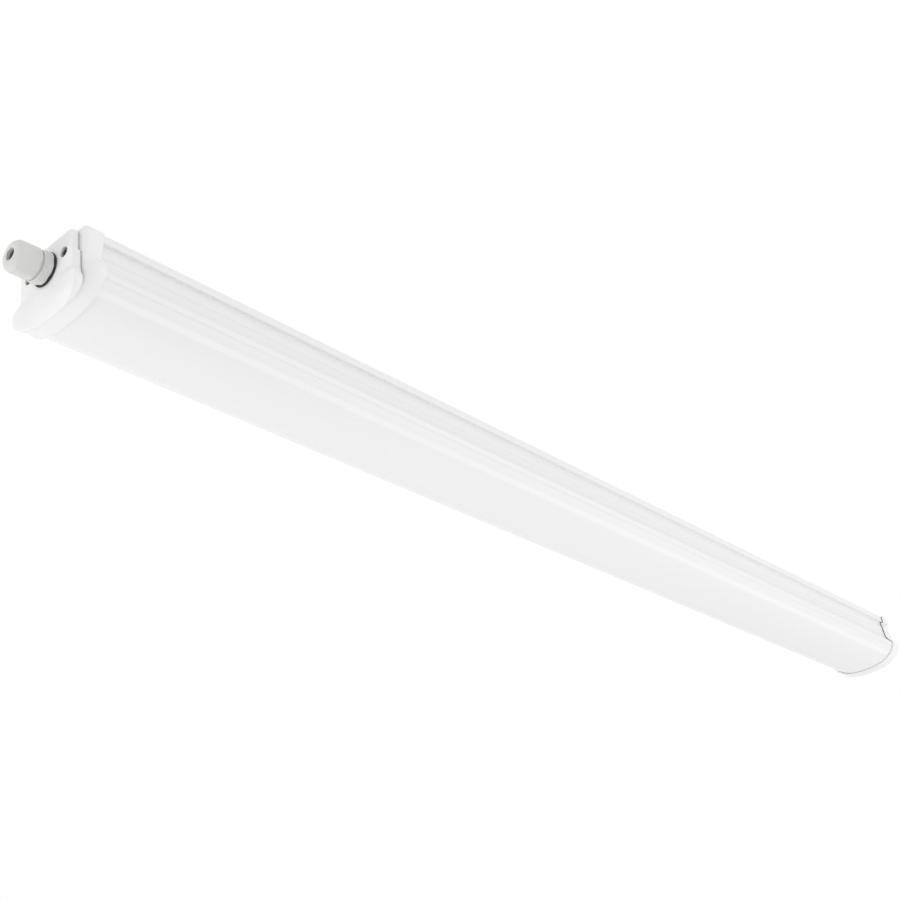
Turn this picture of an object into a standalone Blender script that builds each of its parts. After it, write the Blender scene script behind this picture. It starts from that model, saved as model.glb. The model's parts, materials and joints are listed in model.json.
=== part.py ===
"""Sealed linear batten light with a cable gland at one end.

Metres, +Z up. The origin is the centre of the flat back, which faces up. The light runs along X, with
the gland at -X, and shines down. A depth is measured down from the back, and a half is a half-width.
"""
import math

import bmesh
import bpy
from mathutils import Vector

SMOOTH_ANGLE = math.radians(30)

# Driving dimensions of the extruded body
BODY_LENGTH = 1.2
WALL = 0.0018
CLEARANCE = 0.0003
OVERRUN = 0.002
LIP_HALF = 0.03715
LIP_HEIGHT = 0.008
LIP_CHAMFER = 0.0012
NECK_HALF = 0.032
NECK_HEIGHT = 0.0055
WALL_HALF = 0.0346
WALL_FOOT_HALF = 0.0355
WALL_HEIGHT = 0.0178
FLARE_HEIGHT = 0.0062
SIDE_GROOVE_DROP = 0.006
SIDE_GROOVE_HEIGHT = 0.0018
SIDE_GROOVE_DEPTH = 0.0007

# The crown is the rounded underside, a superellipse
CROWN_HALF = 0.0432
CROWN_DROP = 0.0304
CROWN_LEAD = 0.0088
CROWN_POWER = 2.48
CROWN_STEPS = 14
SEAM_DROP = 0.0048
TONGUE_HEIGHT = 0.0024
TONGUE_WALL = 0.0012
TONGUE_ROOT = 0.003
DIFFUSER_WALL = 0.002

# Rails inside the body that hold the gear tray
RAIL_HALF = 0.0302
RAIL_HEIGHT = 0.0013
RAIL_RISE = 0.0023
KEEPER_HALF = 0.0315
KEEPER_HEIGHT = 0.001

# Gland end: collar, gasket and cover
COLLAR_LENGTH = 0.0148
COLLAR_SIDE = 0.0016
COLLAR_DROP = 0.003
COLLAR_NOSE_DROP = 0.0009
COLLAR_ROUND = 0.0012
COLLAR_RAKE = 0.0044
BULKHEAD = 0.0033
GASKET_GAP = 0.0029
GASKET_INSET = 0.0012
COVER_THICKNESS = 0.0045
COVER_TOP_DROP = 0.001
COVER_CORNER = 0.003
BLOCK_FRONT_HALF = 0.0304
BLOCK_BACK_HALF = 0.0316
SHOULDER_HALF = 0.0346
SHOULDER_DEPTH = 0.019
SHOULDER_RISE = 0.003
LEDGE_DEPTH = 0.0345
LEDGE_DROP = 0.0035
COVER_CROWN_BACK_HALF = 0.0395
COVER_CROWN_WIDE_HALF = 0.0412
COVER_CROWN_FRONT_HALF = 0.0346
COVER_CROWN_BACK_DROP = 0.0322
COVER_CROWN_FRONT_DROP = 0.0305
COVER_CROWN_POWER = 4.0
COVER_CROWN_STEPS = 10
COVER_SWELL_SHARES = (0, 0.3, 0.6, 0.85, 1)
CORNER_STEPS = 4

# End screws and what they pass through
SCREW_HALF_PITCH = 0.0209
SCREW_DEPTH = 0.0172
SCREW_RADIUS = 0.0016
SCREW_HEAD_RADIUS = 0.0034
SCREW_HEAD_HEIGHT = 0.0019
SCREW_SLOT = 0.0008
SCREW_SLOT_DEPTH = 0.0009
SCREW_CROSS_SHARE = 0.62
SCREW_GRIP = 0.0087
RECESS_RADIUS = 0.0039
RECESS_FLOOR = 0.0013
BOSS_RADIUS = 0.005
COLLAR_BOSS_LENGTH = 0.009
ROUND_SIDES = 24

# Blank end: cap and gasket
CAP_LENGTH = 0.015
CAP_SIDE = 0.002
CAP_ROUND = 0.002
CAP_SLEEVE = 0.007
CAP_FRONT = 0.0022
CAP_RIM = 0.0026
CAP_GASKET = 0.001
CAP_BOSS_LENGTH = 0.0071

# Cable gland, a 20 mm size
GLAND_DEPTH = 0.02107
GLAND_THREAD_RADIUS = 0.01
GLAND_BORE_RADIUS = 0.0075
WASHER_WIDTH = 0.0035
WASHER_THICKNESS = 0.0012
HEX_WALL = 0.0024
HEX_CORNER_WALL = 0.0035
HEX_LENGTH = 0.007
HEX_CHAMFER = 0.0008
NECK_RING_RADIUS = 0.0104
NECK_RING_LENGTH = 0.0021
SPIGOT_LENGTH = 0.0095
SPIGOT_RADIUS = 0.0098
NUT_LENGTH = 0.0198
NUT_RADIUS = 0.013
NUT_TAIL_RADIUS = 0.0125
NUT_MOUTH_RADIUS = 0.0083
NUT_BORE_RADIUS = 0.0048
NUT_LIP = 0.0028
NUT_FLATS = 0.0250
NUT_FLAT_LENGTH = 0.0105
NUT_DOME_SHARE = 0.55
NUT_DOME_STEPS = 6
SEAL_RADIUS = 0.0072
SEAL_BORE_RADIUS = 0.0044
SEAL_LENGTH = 0.0115
SEAL_FRONT_RADIUS = 0.006
LOCKNUT_WALL = 0.002
LOCKNUT_LENGTH = 0.0045
LOCKNUT_SPACE = 0.0005
REAR_THREAD_PROUD = 0.0015
TURN_STEPS = 32

# Gear tray: folded steel on the rails
TRAY_SHEET = 0.001
TRAY_SIDE_GAP = 0.0005
TRAY_FLANGE = 0.0058
TRAY_NEAR_INSET = 0.008
TRAY_FAR_INSET = 0.010
TRAY_TAB_HALF = 0.027
TRAY_TAB_RISE = 0.005

# LED boards
BOARD_HALF = 0.012
BOARD_THICKNESS = 0.0016
BOARD_GAP = 0.004
BOARD_NEAR_INSET = 0.0312
BOARD_FAR_INSET = 0.0234
LED_COUNT = 36
LED_LENGTH = 0.0035
LED_WIDTH = 0.0028
LED_HEIGHT = 0.0008
INLET_LENGTH = 0.008
INLET_HALF = 0.009
INLET_HEIGHT = 0.0035
INLET_REACH = 0.0254
FEED_LENGTH = 0.014
FEED_HALF = 0.005
FEED_HEIGHT = 0.0034
FEED_ROUND = 0.0006
BOARD_SCREW_OFFSET = 0.008
BOARD_SCREW_INSET = 0.0475
SMALL_SCREW_RADIUS = 0.0013
SMALL_HEAD_RADIUS = 0.0025
SMALL_HEAD_HEIGHT = 0.0014
SMALL_SCREW_PROUD = 0.0012
SMALL_SIDES = 16

# LED driver
DRIVER_START = 0.095
DRIVER_LENGTH = 0.18
DRIVER_HALF = 0.02
DRIVER_HEIGHT = 0.0205
DRIVER_WALL = 0.0012
DRIVER_EAR = 0.008
DRIVER_EAR_INSET = 0.005
DRIVER_LID = 0.0012
DRIVER_LID_STEP = 0.0015
DRIVER_POST = 0.003
DRIVER_POST_RADIUS = 0.002
DRIVER_BOARD_INSET = 0.001
DRIVER_BOARD_THICKNESS = 0.0016
COIL_LENGTH = 0.028
COIL_HALF = 0.011
COIL_HEIGHT = 0.0125
CAN_RADIUS = 0.005
CAN_HEIGHT = 0.012
CAN_PITCH = 0.014
CAN_COUNT = 3
DRIVER_INLET_LENGTH = 0.009
DRIVER_INLET_HALF = 0.01
DRIVER_INLET_HEIGHT = 0.009
LEAD_HOLE_RADIUS = 0.0016
LEAD_PITCH = 0.0105

# Mains terminal block and its release buttons
TERMINAL_START = 0.04
TERMINAL_LENGTH = 0.024
TERMINAL_HALF = 0.016
TERMINAL_HEIGHT = 0.014
TERMINAL_EAR = 0.007
TERMINAL_EAR_HEIGHT = 0.003
TERMINAL_HOLE_DEPTH = 0.006
TERMINAL_HOLE_RISE = 0.0065
BUTTON_LENGTH = 0.006
BUTTON_WIDTH = 0.0046
BUTTON_PROUD = 0.002
BUTTON_SEAT = 0.0045
BUTTON_TRAVEL = 0.0015
BUTTON_ROUND = 0.0005

# Inner leads
LEAD_RADIUS = 0.0011
LEAD_SAMPLES = 4
LEAD_INSERT = 0.0045
EARTH_POINT = 0.081
EARTH_OFFSET = 0.0245
PASS_HOLE_OFFSET = 0.0165
PASS_HOLE_RADIUS = 0.0025
PASS_DIP = 0.0048
EXIT_RUN = 0.006

# Places that follow from the sizes
WASHER_RADIUS = GLAND_THREAD_RADIUS + WASHER_WIDTH
HEX_ACROSS_FLATS = 2 * (GLAND_THREAD_RADIUS + HEX_WALL)
HEX_ROUND_RADIUS = GLAND_THREAD_RADIUS + HEX_CORNER_WALL
LOCKNUT_FLATS = 2 * (GLAND_THREAD_RADIUS + LOCKNUT_WALL)
LOCKNUT_OPENING = LOCKNUT_FLATS / math.sqrt(3) + LOCKNUT_SPACE
NECK_TOP = LIP_HEIGHT
WALL_TOP = NECK_TOP + NECK_HEIGHT
WALL_END = WALL_TOP + WALL_HEIGHT
FLARE_END = WALL_END + FLARE_HEIGHT
CROWN_CENTRE = FLARE_END - CROWN_LEAD
SEAM_DEPTH = FLARE_END + SEAM_DROP
NEAR_RIM = -BODY_LENGTH / 2
FAR_RIM = BODY_LENGTH / 2
COLLAR_FRONT = NEAR_RIM - COLLAR_LENGTH
BODY_START = COLLAR_FRONT + BULKHEAD + CLEARANCE
COVER_BACK = COLLAR_FRONT - GASKET_GAP
COVER_FRONT = COVER_BACK - COVER_THICKNESS
CAP_END = FAR_RIM + CAP_LENGTH
CAP_SHOULDER = FAR_RIM + CAP_SLEEVE
BODY_END = CAP_SHOULDER - CAP_GASKET - 2 * CLEARANCE
RAIL_TOP = WALL_END - RAIL_RISE
TRAY_UNDER = RAIL_TOP - CLEARANCE
TRAY_TOP = TRAY_UNDER - TRAY_SHEET
TRAY_FLANGE_TOP = TRAY_UNDER - TRAY_FLANGE
TRAY_START = BODY_START + TRAY_NEAR_INSET
TRAY_END = BODY_END - TRAY_FAR_INSET
SEAT = TRAY_TOP - CLEARANCE
BOARD_TOP = TRAY_UNDER + CLEARANCE
BOARD_UNDER = BOARD_TOP + BOARD_THICKNESS
BOARD_START = TRAY_START + BOARD_NEAR_INSET
BOARD_END = TRAY_END - BOARD_FAR_INSET
BOARD_LENGTH = (BOARD_END - BOARD_START - BOARD_GAP) / 2
BOARD_JOIN = BOARD_START + BOARD_LENGTH + BOARD_GAP / 2
BOARD_STARTS = (BOARD_START, BOARD_JOIN + BOARD_GAP / 2)
LED_PITCH = BOARD_LENGTH / LED_COUNT
DRIVER_X0 = TRAY_START + DRIVER_START
DRIVER_X1 = DRIVER_X0 + DRIVER_LENGTH
INLET_PLACE = DRIVER_X1 + INLET_REACH
TERMINAL_X0 = TRAY_START + TERMINAL_START
TERMINAL_X1 = TERMINAL_X0 + TERMINAL_LENGTH

COLOURS = {
    "housing_white": ((0.82, 0.82, 0.82), 0.35, 0.0),
    "diffuser_opal": ((0.86, 0.86, 0.86), 0.4, 0.0),
    "gland_grey": ((0.62, 0.62, 0.60), 0.45, 0.0),
    "seal_black": ((0.02, 0.02, 0.02), 0.7, 0.0),
    "gasket_white": ((0.66, 0.66, 0.65), 0.7, 0.0),
    "screw_steel": ((0.55, 0.55, 0.56), 0.3, 1.0),
    "tray_steel": ((0.70, 0.71, 0.72), 0.4, 1.0),
    "board_white": ((0.85, 0.86, 0.84), 0.5, 0.0),
    "board_green": ((0.05, 0.25, 0.10), 0.5, 0.0),
    "driver_grey": ((0.75, 0.76, 0.77), 0.5, 0.0),
    "terminal_white": ((0.80, 0.80, 0.76), 0.5, 0.0),
    "button_orange": ((0.80, 0.30, 0.05), 0.5, 0.0),
    "lead_brown": ((0.20, 0.09, 0.04), 0.5, 0.0),
    "lead_blue": ((0.04, 0.15, 0.50), 0.5, 0.0),
    "lead_green": ((0.20, 0.45, 0.06), 0.5, 0.0),
    "lead_red": ((0.55, 0.03, 0.03), 0.5, 0.0),
    "lead_black": ((0.03, 0.03, 0.03), 0.5, 0.0),
}


# Scene helpers

def clear_scene():
    for obj in list(bpy.data.objects):
        bpy.data.objects.remove(obj)


def new_collection(name):
    group = bpy.data.collections.new(name)
    bpy.context.scene.collection.children.link(group)
    return group


def material(slot):
    found = bpy.data.materials.get(slot)
    if found:
        return found
    colour, roughness, metallic = COLOURS[slot]
    made = bpy.data.materials.new(slot)
    made.use_nodes = True
    shader = made.node_tree.nodes["Principled BSDF"]
    shader.inputs["Base Color"].default_value = (*colour, 1.0)
    shader.inputs["Roughness"].default_value = roughness
    shader.inputs["Metallic"].default_value = metallic
    return made


def face_outwards(bm):
    bmesh.ops.recalc_face_normals(bm, faces=bm.faces)
    if bm.calc_volume(signed=True) < 0:
        bmesh.ops.reverse_faces(bm, faces=bm.faces)


def link_mesh(name, bm, group=None):
    """A new object from a bmesh, in the parts' collection unless another is named."""
    face_outwards(bm)
    mesh = bpy.data.meshes.new(name)
    bm.to_mesh(mesh)
    bm.free()
    obj = bpy.data.objects.new(name, mesh)
    (group or PARTS).objects.link(obj)
    return obj


def baked(obj):
    """The object's evaluated mesh takes the place of its mesh and modifiers."""
    bpy.context.view_layer.update()
    graph = bpy.context.evaluated_depsgraph_get()
    mesh = bpy.data.meshes.new_from_object(obj.evaluated_get(graph))
    obj.modifiers.clear()
    obj.data = mesh
    return obj


def combine(obj, others, operation, self_cross=False):
    """Combines with each other body in turn. Self cross is for a loft whose side quads are not flat."""
    for other in others:
        other.display_type = "WIRE"
        other.hide_render = True
        step = obj.modifiers.new(operation.lower(), "BOOLEAN")
        step.operation = operation
        step.solver = "EXACT"
        step.use_self = self_cross
        step.object = other
        baked(obj)
        bpy.data.objects.remove(other)
    return obj


def cut(obj, *cutters, self_cross=False):
    return combine(obj, cutters, "DIFFERENCE", self_cross)


def unite(obj, *others, self_cross=False):
    return combine(obj, others, "UNION", self_cross)


def finish(obj, slot, smooth_angle=None):
    obj.data.materials.clear()
    obj.data.materials.append(material(slot))
    if smooth_angle:
        obj.data.shade_smooth()
        obj.data.set_sharp_from_angle(angle=smooth_angle)
    return obj


# Shape helpers

def box(name, low, high, group=None):
    """A box between two corners."""
    bm = bmesh.new()
    bmesh.ops.create_cube(bm, size=1)
    low, high = Vector(low), Vector(high)
    size = high - low
    for vert in bm.verts:
        vert.co = Vector(vert.co[i] * size[i] + (low[i] + high[i]) / 2 for i in range(3))
    return link_mesh(name, bm, group)


def rounded(obj, width, segments=2):
    step = obj.modifiers.new("round", "BEVEL")
    step.width = width
    step.segments = segments
    step.limit_method = "ANGLE"
    return baked(obj)


def rod(name, start, end, radius, sides, group=None):
    """A cylinder from one point to another."""
    start, end = Vector(start), Vector(end)
    bm = bmesh.new()
    bmesh.ops.create_cone(bm, cap_ends=True, segments=sides, radius1=radius, radius2=radius,
                          depth=(end - start).length)
    turn = Vector((0, 0, 1)).rotation_difference(end - start).to_matrix()
    middle = (start + end) / 2
    for vert in bm.verts:
        vert.co = turn @ vert.co + middle
    return link_mesh(name, bm, group)


def hex_prism(name, x0, x1, across_flats):
    """A hexagonal bar round the gland's axis, with a flat on top."""
    bm = bmesh.new()
    corner = across_flats / math.sqrt(3)
    bmesh.ops.create_cone(bm, cap_ends=True, segments=6, radius1=corner, radius2=corner, depth=x1 - x0)
    for vert in bm.verts:
        x, y, z = vert.co
        vert.co = Vector((z + (x0 + x1) / 2, x, y - GLAND_DEPTH))
    return link_mesh(name, bm, CUTTERS)


def turned(name, profile, steps=TURN_STEPS, group=None):
    """A body of revolution about the gland's axis from (x, radius) points, outer side from the front."""
    origin = profile[0][0]
    mesh = bpy.data.meshes.new(name)
    points = [(radius, 0, origin - x) for x, radius in profile]
    count = len(points)
    closed = all(radius > 0 for _, radius in profile)
    edges = [(i, i + 1) for i in range(count - 1)]
    if closed:
        edges.append((count - 1, 0))
    mesh.from_pydata(points, edges, [])
    obj = bpy.data.objects.new(name, mesh)
    (group or PARTS).objects.link(obj)
    obj.location = (origin, 0, -GLAND_DEPTH)
    obj.rotation_euler = (0, -math.pi / 2, 0)
    screw = obj.modifiers.new("turn", "SCREW")
    screw.axis = "Z"
    screw.steps = steps
    screw.render_steps = steps
    screw.use_merge_vertices = True
    screw.merge_threshold = CLEARANCE / 10
    baked(obj)
    bm = bmesh.new()
    bm.from_mesh(obj.data)
    face_outwards(bm)
    bm.to_mesh(obj.data)
    bm.free()
    return obj


def section_bar(name, outlines, x0, x1, group=None):
    """A bar along X from closed (y, z) outlines: the first is outside, the rest are holes."""
    curve = bpy.data.curves.new(name, "CURVE")
    curve.dimensions = "2D"
    curve.fill_mode = "BOTH"
    curve.extrude = (x1 - x0) / 2
    for outline in outlines:
        spline = curve.splines.new("POLY")
        spline.points.add(len(outline) - 1)
        for point, (y, z) in zip(spline.points, outline):
            point.co = (y, z, 0, 1)
        spline.use_cyclic_u = True
    guide = bpy.data.objects.new(name + "_outline", curve)
    CUTTERS.objects.link(guide)
    guide.location = ((x0 + x1) / 2, 0, 0)
    guide.rotation_euler = (math.pi / 2, 0, math.pi / 2)
    obj = from_curve(name, guide, group)
    obj.data.transform(obj.matrix_world)
    obj.matrix_world.identity()
    return obj


def from_curve(name, guide, group=None):
    """A welded mesh object from a curve object, which is removed."""
    bpy.context.view_layer.update()
    graph = bpy.context.evaluated_depsgraph_get()
    mesh = bpy.data.meshes.new_from_object(guide.evaluated_get(graph))
    mesh.name = name
    bm = bmesh.new()
    bm.from_mesh(mesh)
    bmesh.ops.remove_doubles(bm, verts=bm.verts, dist=CLEARANCE / 30)
    face_outwards(bm)
    bm.to_mesh(mesh)
    bm.free()
    obj = bpy.data.objects.new(name, mesh)
    (group or PARTS).objects.link(obj)
    obj.matrix_world = guide.matrix_world.copy()
    bpy.data.objects.remove(guide)
    return obj


def loft(name, rings, group=None):
    """A closed body through rings of points that have the same count."""
    bm = bmesh.new()
    loops = [[bm.verts.new(point) for point in ring] for ring in rings]
    count = len(rings[0])
    for first, second in zip(loops, loops[1:]):
        for i in range(count):
            j = (i + 1) % count
            bm.faces.new((first[i], first[j], second[j], second[i]))
    bm.faces.new(loops[0])
    bm.faces.new(loops[-1])
    return link_mesh(name, bm, group)


def circle(y, z, radius, sides=ROUND_SIDES):
    """A closed outline, turned so that its corners match a rod's."""
    steps = (2 * math.pi * i / sides for i in range(sides))
    return [(y + radius * math.sin(a), z + radius * math.cos(a)) for a in steps]


# The body's section

def crown(start_depth, half, drop, power, steps, centre):
    """Points of the rounded underside at y > 0, from a depth down to the middle."""
    share = max(start_depth - centre, 0) / drop
    first = math.asin(min(share ** (power / 2), 1))
    points = []
    for i in range(steps + 1):
        angle = first + (math.pi / 2 - first) * i / steps
        y = half * max(math.cos(angle), 0) ** (2 / power)
        points.append((y, -(centre + drop * math.sin(angle) ** (2 / power))))
    points[-1] = (0, -(centre + drop))
    return points


def body_crown(start_depth, offset=0):
    return crown(start_depth, CROWN_HALF + offset, CROWN_DROP + offset, CROWN_POWER, CROWN_STEPS,
                 CROWN_CENTRE)


def crown_half_at(depth, offset=0):
    """Half-width of the body's crown at a depth."""
    share = (depth - CROWN_CENTRE) / (CROWN_DROP + offset)
    return (CROWN_HALF + offset) * (1 - share ** CROWN_POWER) ** (1 / CROWN_POWER)


def crown_span(start_depth, end_depth, offset, steps):
    """Points of the crown between two depths."""
    depths = [start_depth + (end_depth - start_depth) * i / steps for i in range(steps + 1)]
    return [(crown_half_at(depth, offset), -depth) for depth in depths]


def side_points(side, neck=True, top=0):
    """Right half of the section from the back down to the foot of the side wall."""
    points = [(LIP_HALF + side - LIP_CHAMFER, top), (LIP_HALF + side, top - LIP_CHAMFER)]
    if neck:
        points += [(LIP_HALF + side, -NECK_TOP - side), (NECK_HALF + side, -NECK_TOP - side),
                   (NECK_HALF + side, -WALL_TOP + side), (WALL_HALF + side, -WALL_TOP + side)]
    points.append((WALL_FOOT_HALF + side, -WALL_END))
    return points


def mirrored(right):
    """A closed outline from its right half, which runs from the top to the bottom middle."""
    left = [(-y, z) for y, z in reversed(right) if y > 0]
    return right + left


def body_outline(side, drop, neck=True, top=0):
    return mirrored(side_points(side, neck, top) + body_crown(FLARE_END, drop))


def inset(points, distance):
    """The line moved inwards, with mitred corners."""
    normals = []
    for (y0, z0), (y1, z1) in zip(points, points[1:]):
        length = math.hypot(y1 - y0, z1 - z0)
        normals.append(((z1 - z0) / length, (y0 - y1) / length))
    moved = []
    for i, (y, z) in enumerate(points):
        before = normals[max(i - 1, 0)]
        after = normals[min(i, len(normals) - 1)]
        scale = distance / (1 + before[0] * after[0] + before[1] * after[1])
        moved.append((y + (before[0] + after[0]) * scale, z + (before[1] + after[1]) * scale))
    return moved


def half_at(points, depth):
    """Half-width of a line at a depth."""
    for (y0, z0), (y1, z1) in zip(points, points[1:]):
        if z0 > -depth >= z1:
            return y0 + (y1 - y0) * (z0 + depth) / (z0 - z1)
    return points[-1][0]


def with_rib(points, top, height, half):
    """The inner line with a rib that reaches in to a half-width."""
    bottom = top + height
    above = [point for point in points if point[1] > -top]
    below = [point for point in points if point[1] < -bottom]
    rib = [(half_at(points, top), -top), (half, -top), (half, -bottom),
           (half_at(points, bottom), -bottom)]
    return above + rib + below


def housing_outline():
    side = side_points(0)
    inner = inset([(0, 0)] + side + [(crown_half_at(FLARE_END), -FLARE_END)], WALL)[:-1]
    inner = with_rib(inner, TRAY_FLANGE_TOP - CLEARANCE - KEEPER_HEIGHT, KEEPER_HEIGHT, KEEPER_HALF)
    inner = with_rib(inner, RAIL_TOP, RAIL_HEIGHT, RAIL_HALF)
    inner += crown_span(FLARE_END + WALL, SEAM_DEPTH, -WALL, 3)
    groove_top = WALL_TOP + SIDE_GROOVE_DROP
    groove_end = groove_top + SIDE_GROOVE_HEIGHT
    groove_half = half_at(side, groove_top)
    outer = side[:-1]
    outer += [(groove_half, -groove_top), (groove_half - SIDE_GROOVE_DEPTH, -(groove_top + groove_end) / 2),
              (half_at(side, groove_end), -groove_end), side[-1]]
    outer += crown_span(FLARE_END, SEAM_DEPTH, 0, 4)
    right = outer + inner[:0:-1]
    left = [(-y, z) for y, z in reversed(outer)]
    left_inner = [(-y, z) for y, z in inner[1:]]
    return left + right + left_inner


def diffuser_outline():
    start = SEAM_DEPTH + CLEARANCE
    shelf = WALL + CLEARANCE
    tongue = shelf + TONGUE_WALL
    outer = body_crown(start)[::-1]
    outer += crown_span(start, SEAM_DEPTH - TONGUE_HEIGHT, -shelf, 2)
    inner = crown_span(SEAM_DEPTH - TONGUE_HEIGHT, start + TONGUE_ROOT, -tongue, 4)
    inner += body_crown(start + TONGUE_ROOT, -DIFFUSER_WALL)[:-1]
    bottom = -(CROWN_CENTRE + CROWN_DROP - DIFFUSER_WALL)
    right = outer + inner
    left = [(-y, z) for y, z in reversed(right) if y > 0]
    return right + [(0, bottom)] + left


# Body pieces

def make_housing():
    bar = section_bar("housing", [housing_outline()], BODY_START, BODY_END)
    finish(bar, "housing_white", SMOOTH_ANGLE)


def make_diffuser():
    bar = section_bar("diffuser", [diffuser_outline()], BODY_START, BODY_END)
    finish(bar, "diffuser_opal", SMOOTH_ANGLE)


def end_rods(name, x0, x1, radius, sides=ROUND_SIDES):
    """A pair of rods on the end screws' lines."""
    return [rod(name, (x0, y, -SCREW_DEPTH), (x1, y, -SCREW_DEPTH), radius, sides, CUTTERS)
            for y in (-SCREW_HALF_PITCH, SCREW_HALF_PITCH)]


def gland_rod(name, x0, x1, radius, sides=TURN_STEPS):
    return rod(name, (x0, 0, -GLAND_DEPTH), (x1, 0, -GLAND_DEPTH), radius, sides, CUTTERS)


def make_gland_end_collar():
    """A sleeve round the body's end, open at the back, with a bulkhead in front."""
    lowest = CROWN_CENTRE + CROWN_DROP

    def ring(x, side, drop, rake=0):
        outline = body_outline(side, drop, neck=False)
        return [(x + rake * z / lowest, y, z) for y, z in outline]

    nose = (COLLAR_NOSE_DROP + COLLAR_DROP) / 2
    rings = [ring(COLLAR_FRONT, COLLAR_SIDE - COLLAR_ROUND / 2, COLLAR_NOSE_DROP),
             ring(COLLAR_FRONT + COLLAR_ROUND, COLLAR_SIDE, nose),
             ring(NEAR_RIM, COLLAR_SIDE, COLLAR_DROP, COLLAR_RAKE)]
    collar = loft("gland_end_collar", rings)
    sleeve = section_bar("sleeve", [body_outline(CLEARANCE, CLEARANCE, top=OVERRUN)],
                         COLLAR_FRONT + BULKHEAD, NEAR_RIM + OVERRUN, CUTTERS)
    cut(collar, sleeve, self_cross=True)
    boss_end = COLLAR_FRONT + BULKHEAD + COLLAR_BOSS_LENGTH
    unite(collar, *end_rods("boss", COLLAR_FRONT + BULKHEAD / 2, boss_end, BOSS_RADIUS),
          self_cross=True)
    cut(collar, gland_rod("opening", COLLAR_FRONT - OVERRUN, NEAR_RIM, LOCKNUT_OPENING),
        *end_rods("thread_hole", COLLAR_FRONT - OVERRUN, boss_end - RECESS_FLOOR, SCREW_RADIUS + CLEARANCE),
        self_cross=True)
    finish(collar, "housing_white", SMOOTH_ANGLE)


def cover_outline(block_share, crown_half, crown_drop):
    """The cover's outline, from its back at share 0 to its front at share 1."""
    block = BLOCK_BACK_HALF + (BLOCK_FRONT_HALF - BLOCK_BACK_HALF) * block_share
    shoulder = SHOULDER_HALF + (BLOCK_FRONT_HALF - SHOULDER_HALF) * block_share
    top = -COVER_TOP_DROP
    corner = [(block - COVER_CORNER * (1 - math.sin(angle)), top - COVER_CORNER * (1 - math.cos(angle)))
              for angle in (math.pi / 2 * i / CORNER_STEPS for i in range(CORNER_STEPS + 1))]
    right = corner + [(block, -SHOULDER_DEPTH), (shoulder, -SHOULDER_DEPTH - SHOULDER_RISE),
                      (shoulder, -LEDGE_DEPTH)]
    right += crown(LEDGE_DEPTH + LEDGE_DROP, crown_half, crown_drop, COVER_CROWN_POWER, COVER_CROWN_STEPS,
                   CROWN_CENTRE)
    return mirrored(right)


def make_gland_end_cover():
    rings = []
    swell_end = COVER_SWELL_SHARES[1]
    for share in COVER_SWELL_SHARES:
        swell = math.sin(math.pi / 2 * min(share / swell_end, 1))
        back = COVER_CROWN_BACK_HALF + (COVER_CROWN_WIDE_HALF - COVER_CROWN_BACK_HALF) * swell
        shrink = 1 - math.sqrt(1 - max(share - swell_end, 0) ** 2 / (1 - swell_end) ** 2)
        half = back + (COVER_CROWN_FRONT_HALF - back) * shrink
        drop = COVER_CROWN_BACK_DROP + (COVER_CROWN_FRONT_DROP - COVER_CROWN_BACK_DROP) * shrink
        x = COVER_BACK - COVER_THICKNESS * share
        rings.append([(x, y, z) for y, z in cover_outline(share, half, drop)])
    cover = loft("gland_end_cover", rings)
    boss_end = COLLAR_FRONT - CLEARANCE
    unite(cover, *end_rods("boss", COVER_BACK - COVER_THICKNESS / 2, boss_end, BOSS_RADIUS))
    cut(cover, gland_rod("gland_hole", COVER_FRONT - OVERRUN, COLLAR_FRONT,
                         GLAND_THREAD_RADIUS + CLEARANCE),
        *end_rods("recess", COVER_FRONT - OVERRUN, boss_end - RECESS_FLOOR, RECESS_RADIUS),
        *end_rods("screw_hole", COVER_BACK, COLLAR_FRONT + OVERRUN, SCREW_RADIUS + CLEARANCE))
    finish(cover, "housing_white", SMOOTH_ANGLE)


def make_gland_end_gasket():
    """A sheet that stays just inside the cover's outline, with holes for the gland and the bosses."""
    half = COVER_CROWN_BACK_HALF - GASKET_INSET
    outline = cover_outline(0, half, COVER_CROWN_BACK_DROP - GASKET_INSET)
    trim = 1 - GASKET_INSET / SHOULDER_HALF
    outline = [(y * trim, z - GASKET_INSET if z > -COVER_CORNER else z) for y, z in outline]
    holes = [circle(0, -GLAND_DEPTH, LOCKNUT_OPENING, TURN_STEPS)]
    holes += [circle(side * SCREW_HALF_PITCH, -SCREW_DEPTH, BOSS_RADIUS + CLEARANCE) for side in (-1, 1)]
    sheet = section_bar("gland_end_gasket", [outline] + holes, COVER_BACK + CLEARANCE,
                        COLLAR_FRONT - CLEARANCE)
    finish(sheet, "gasket_white")


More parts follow.
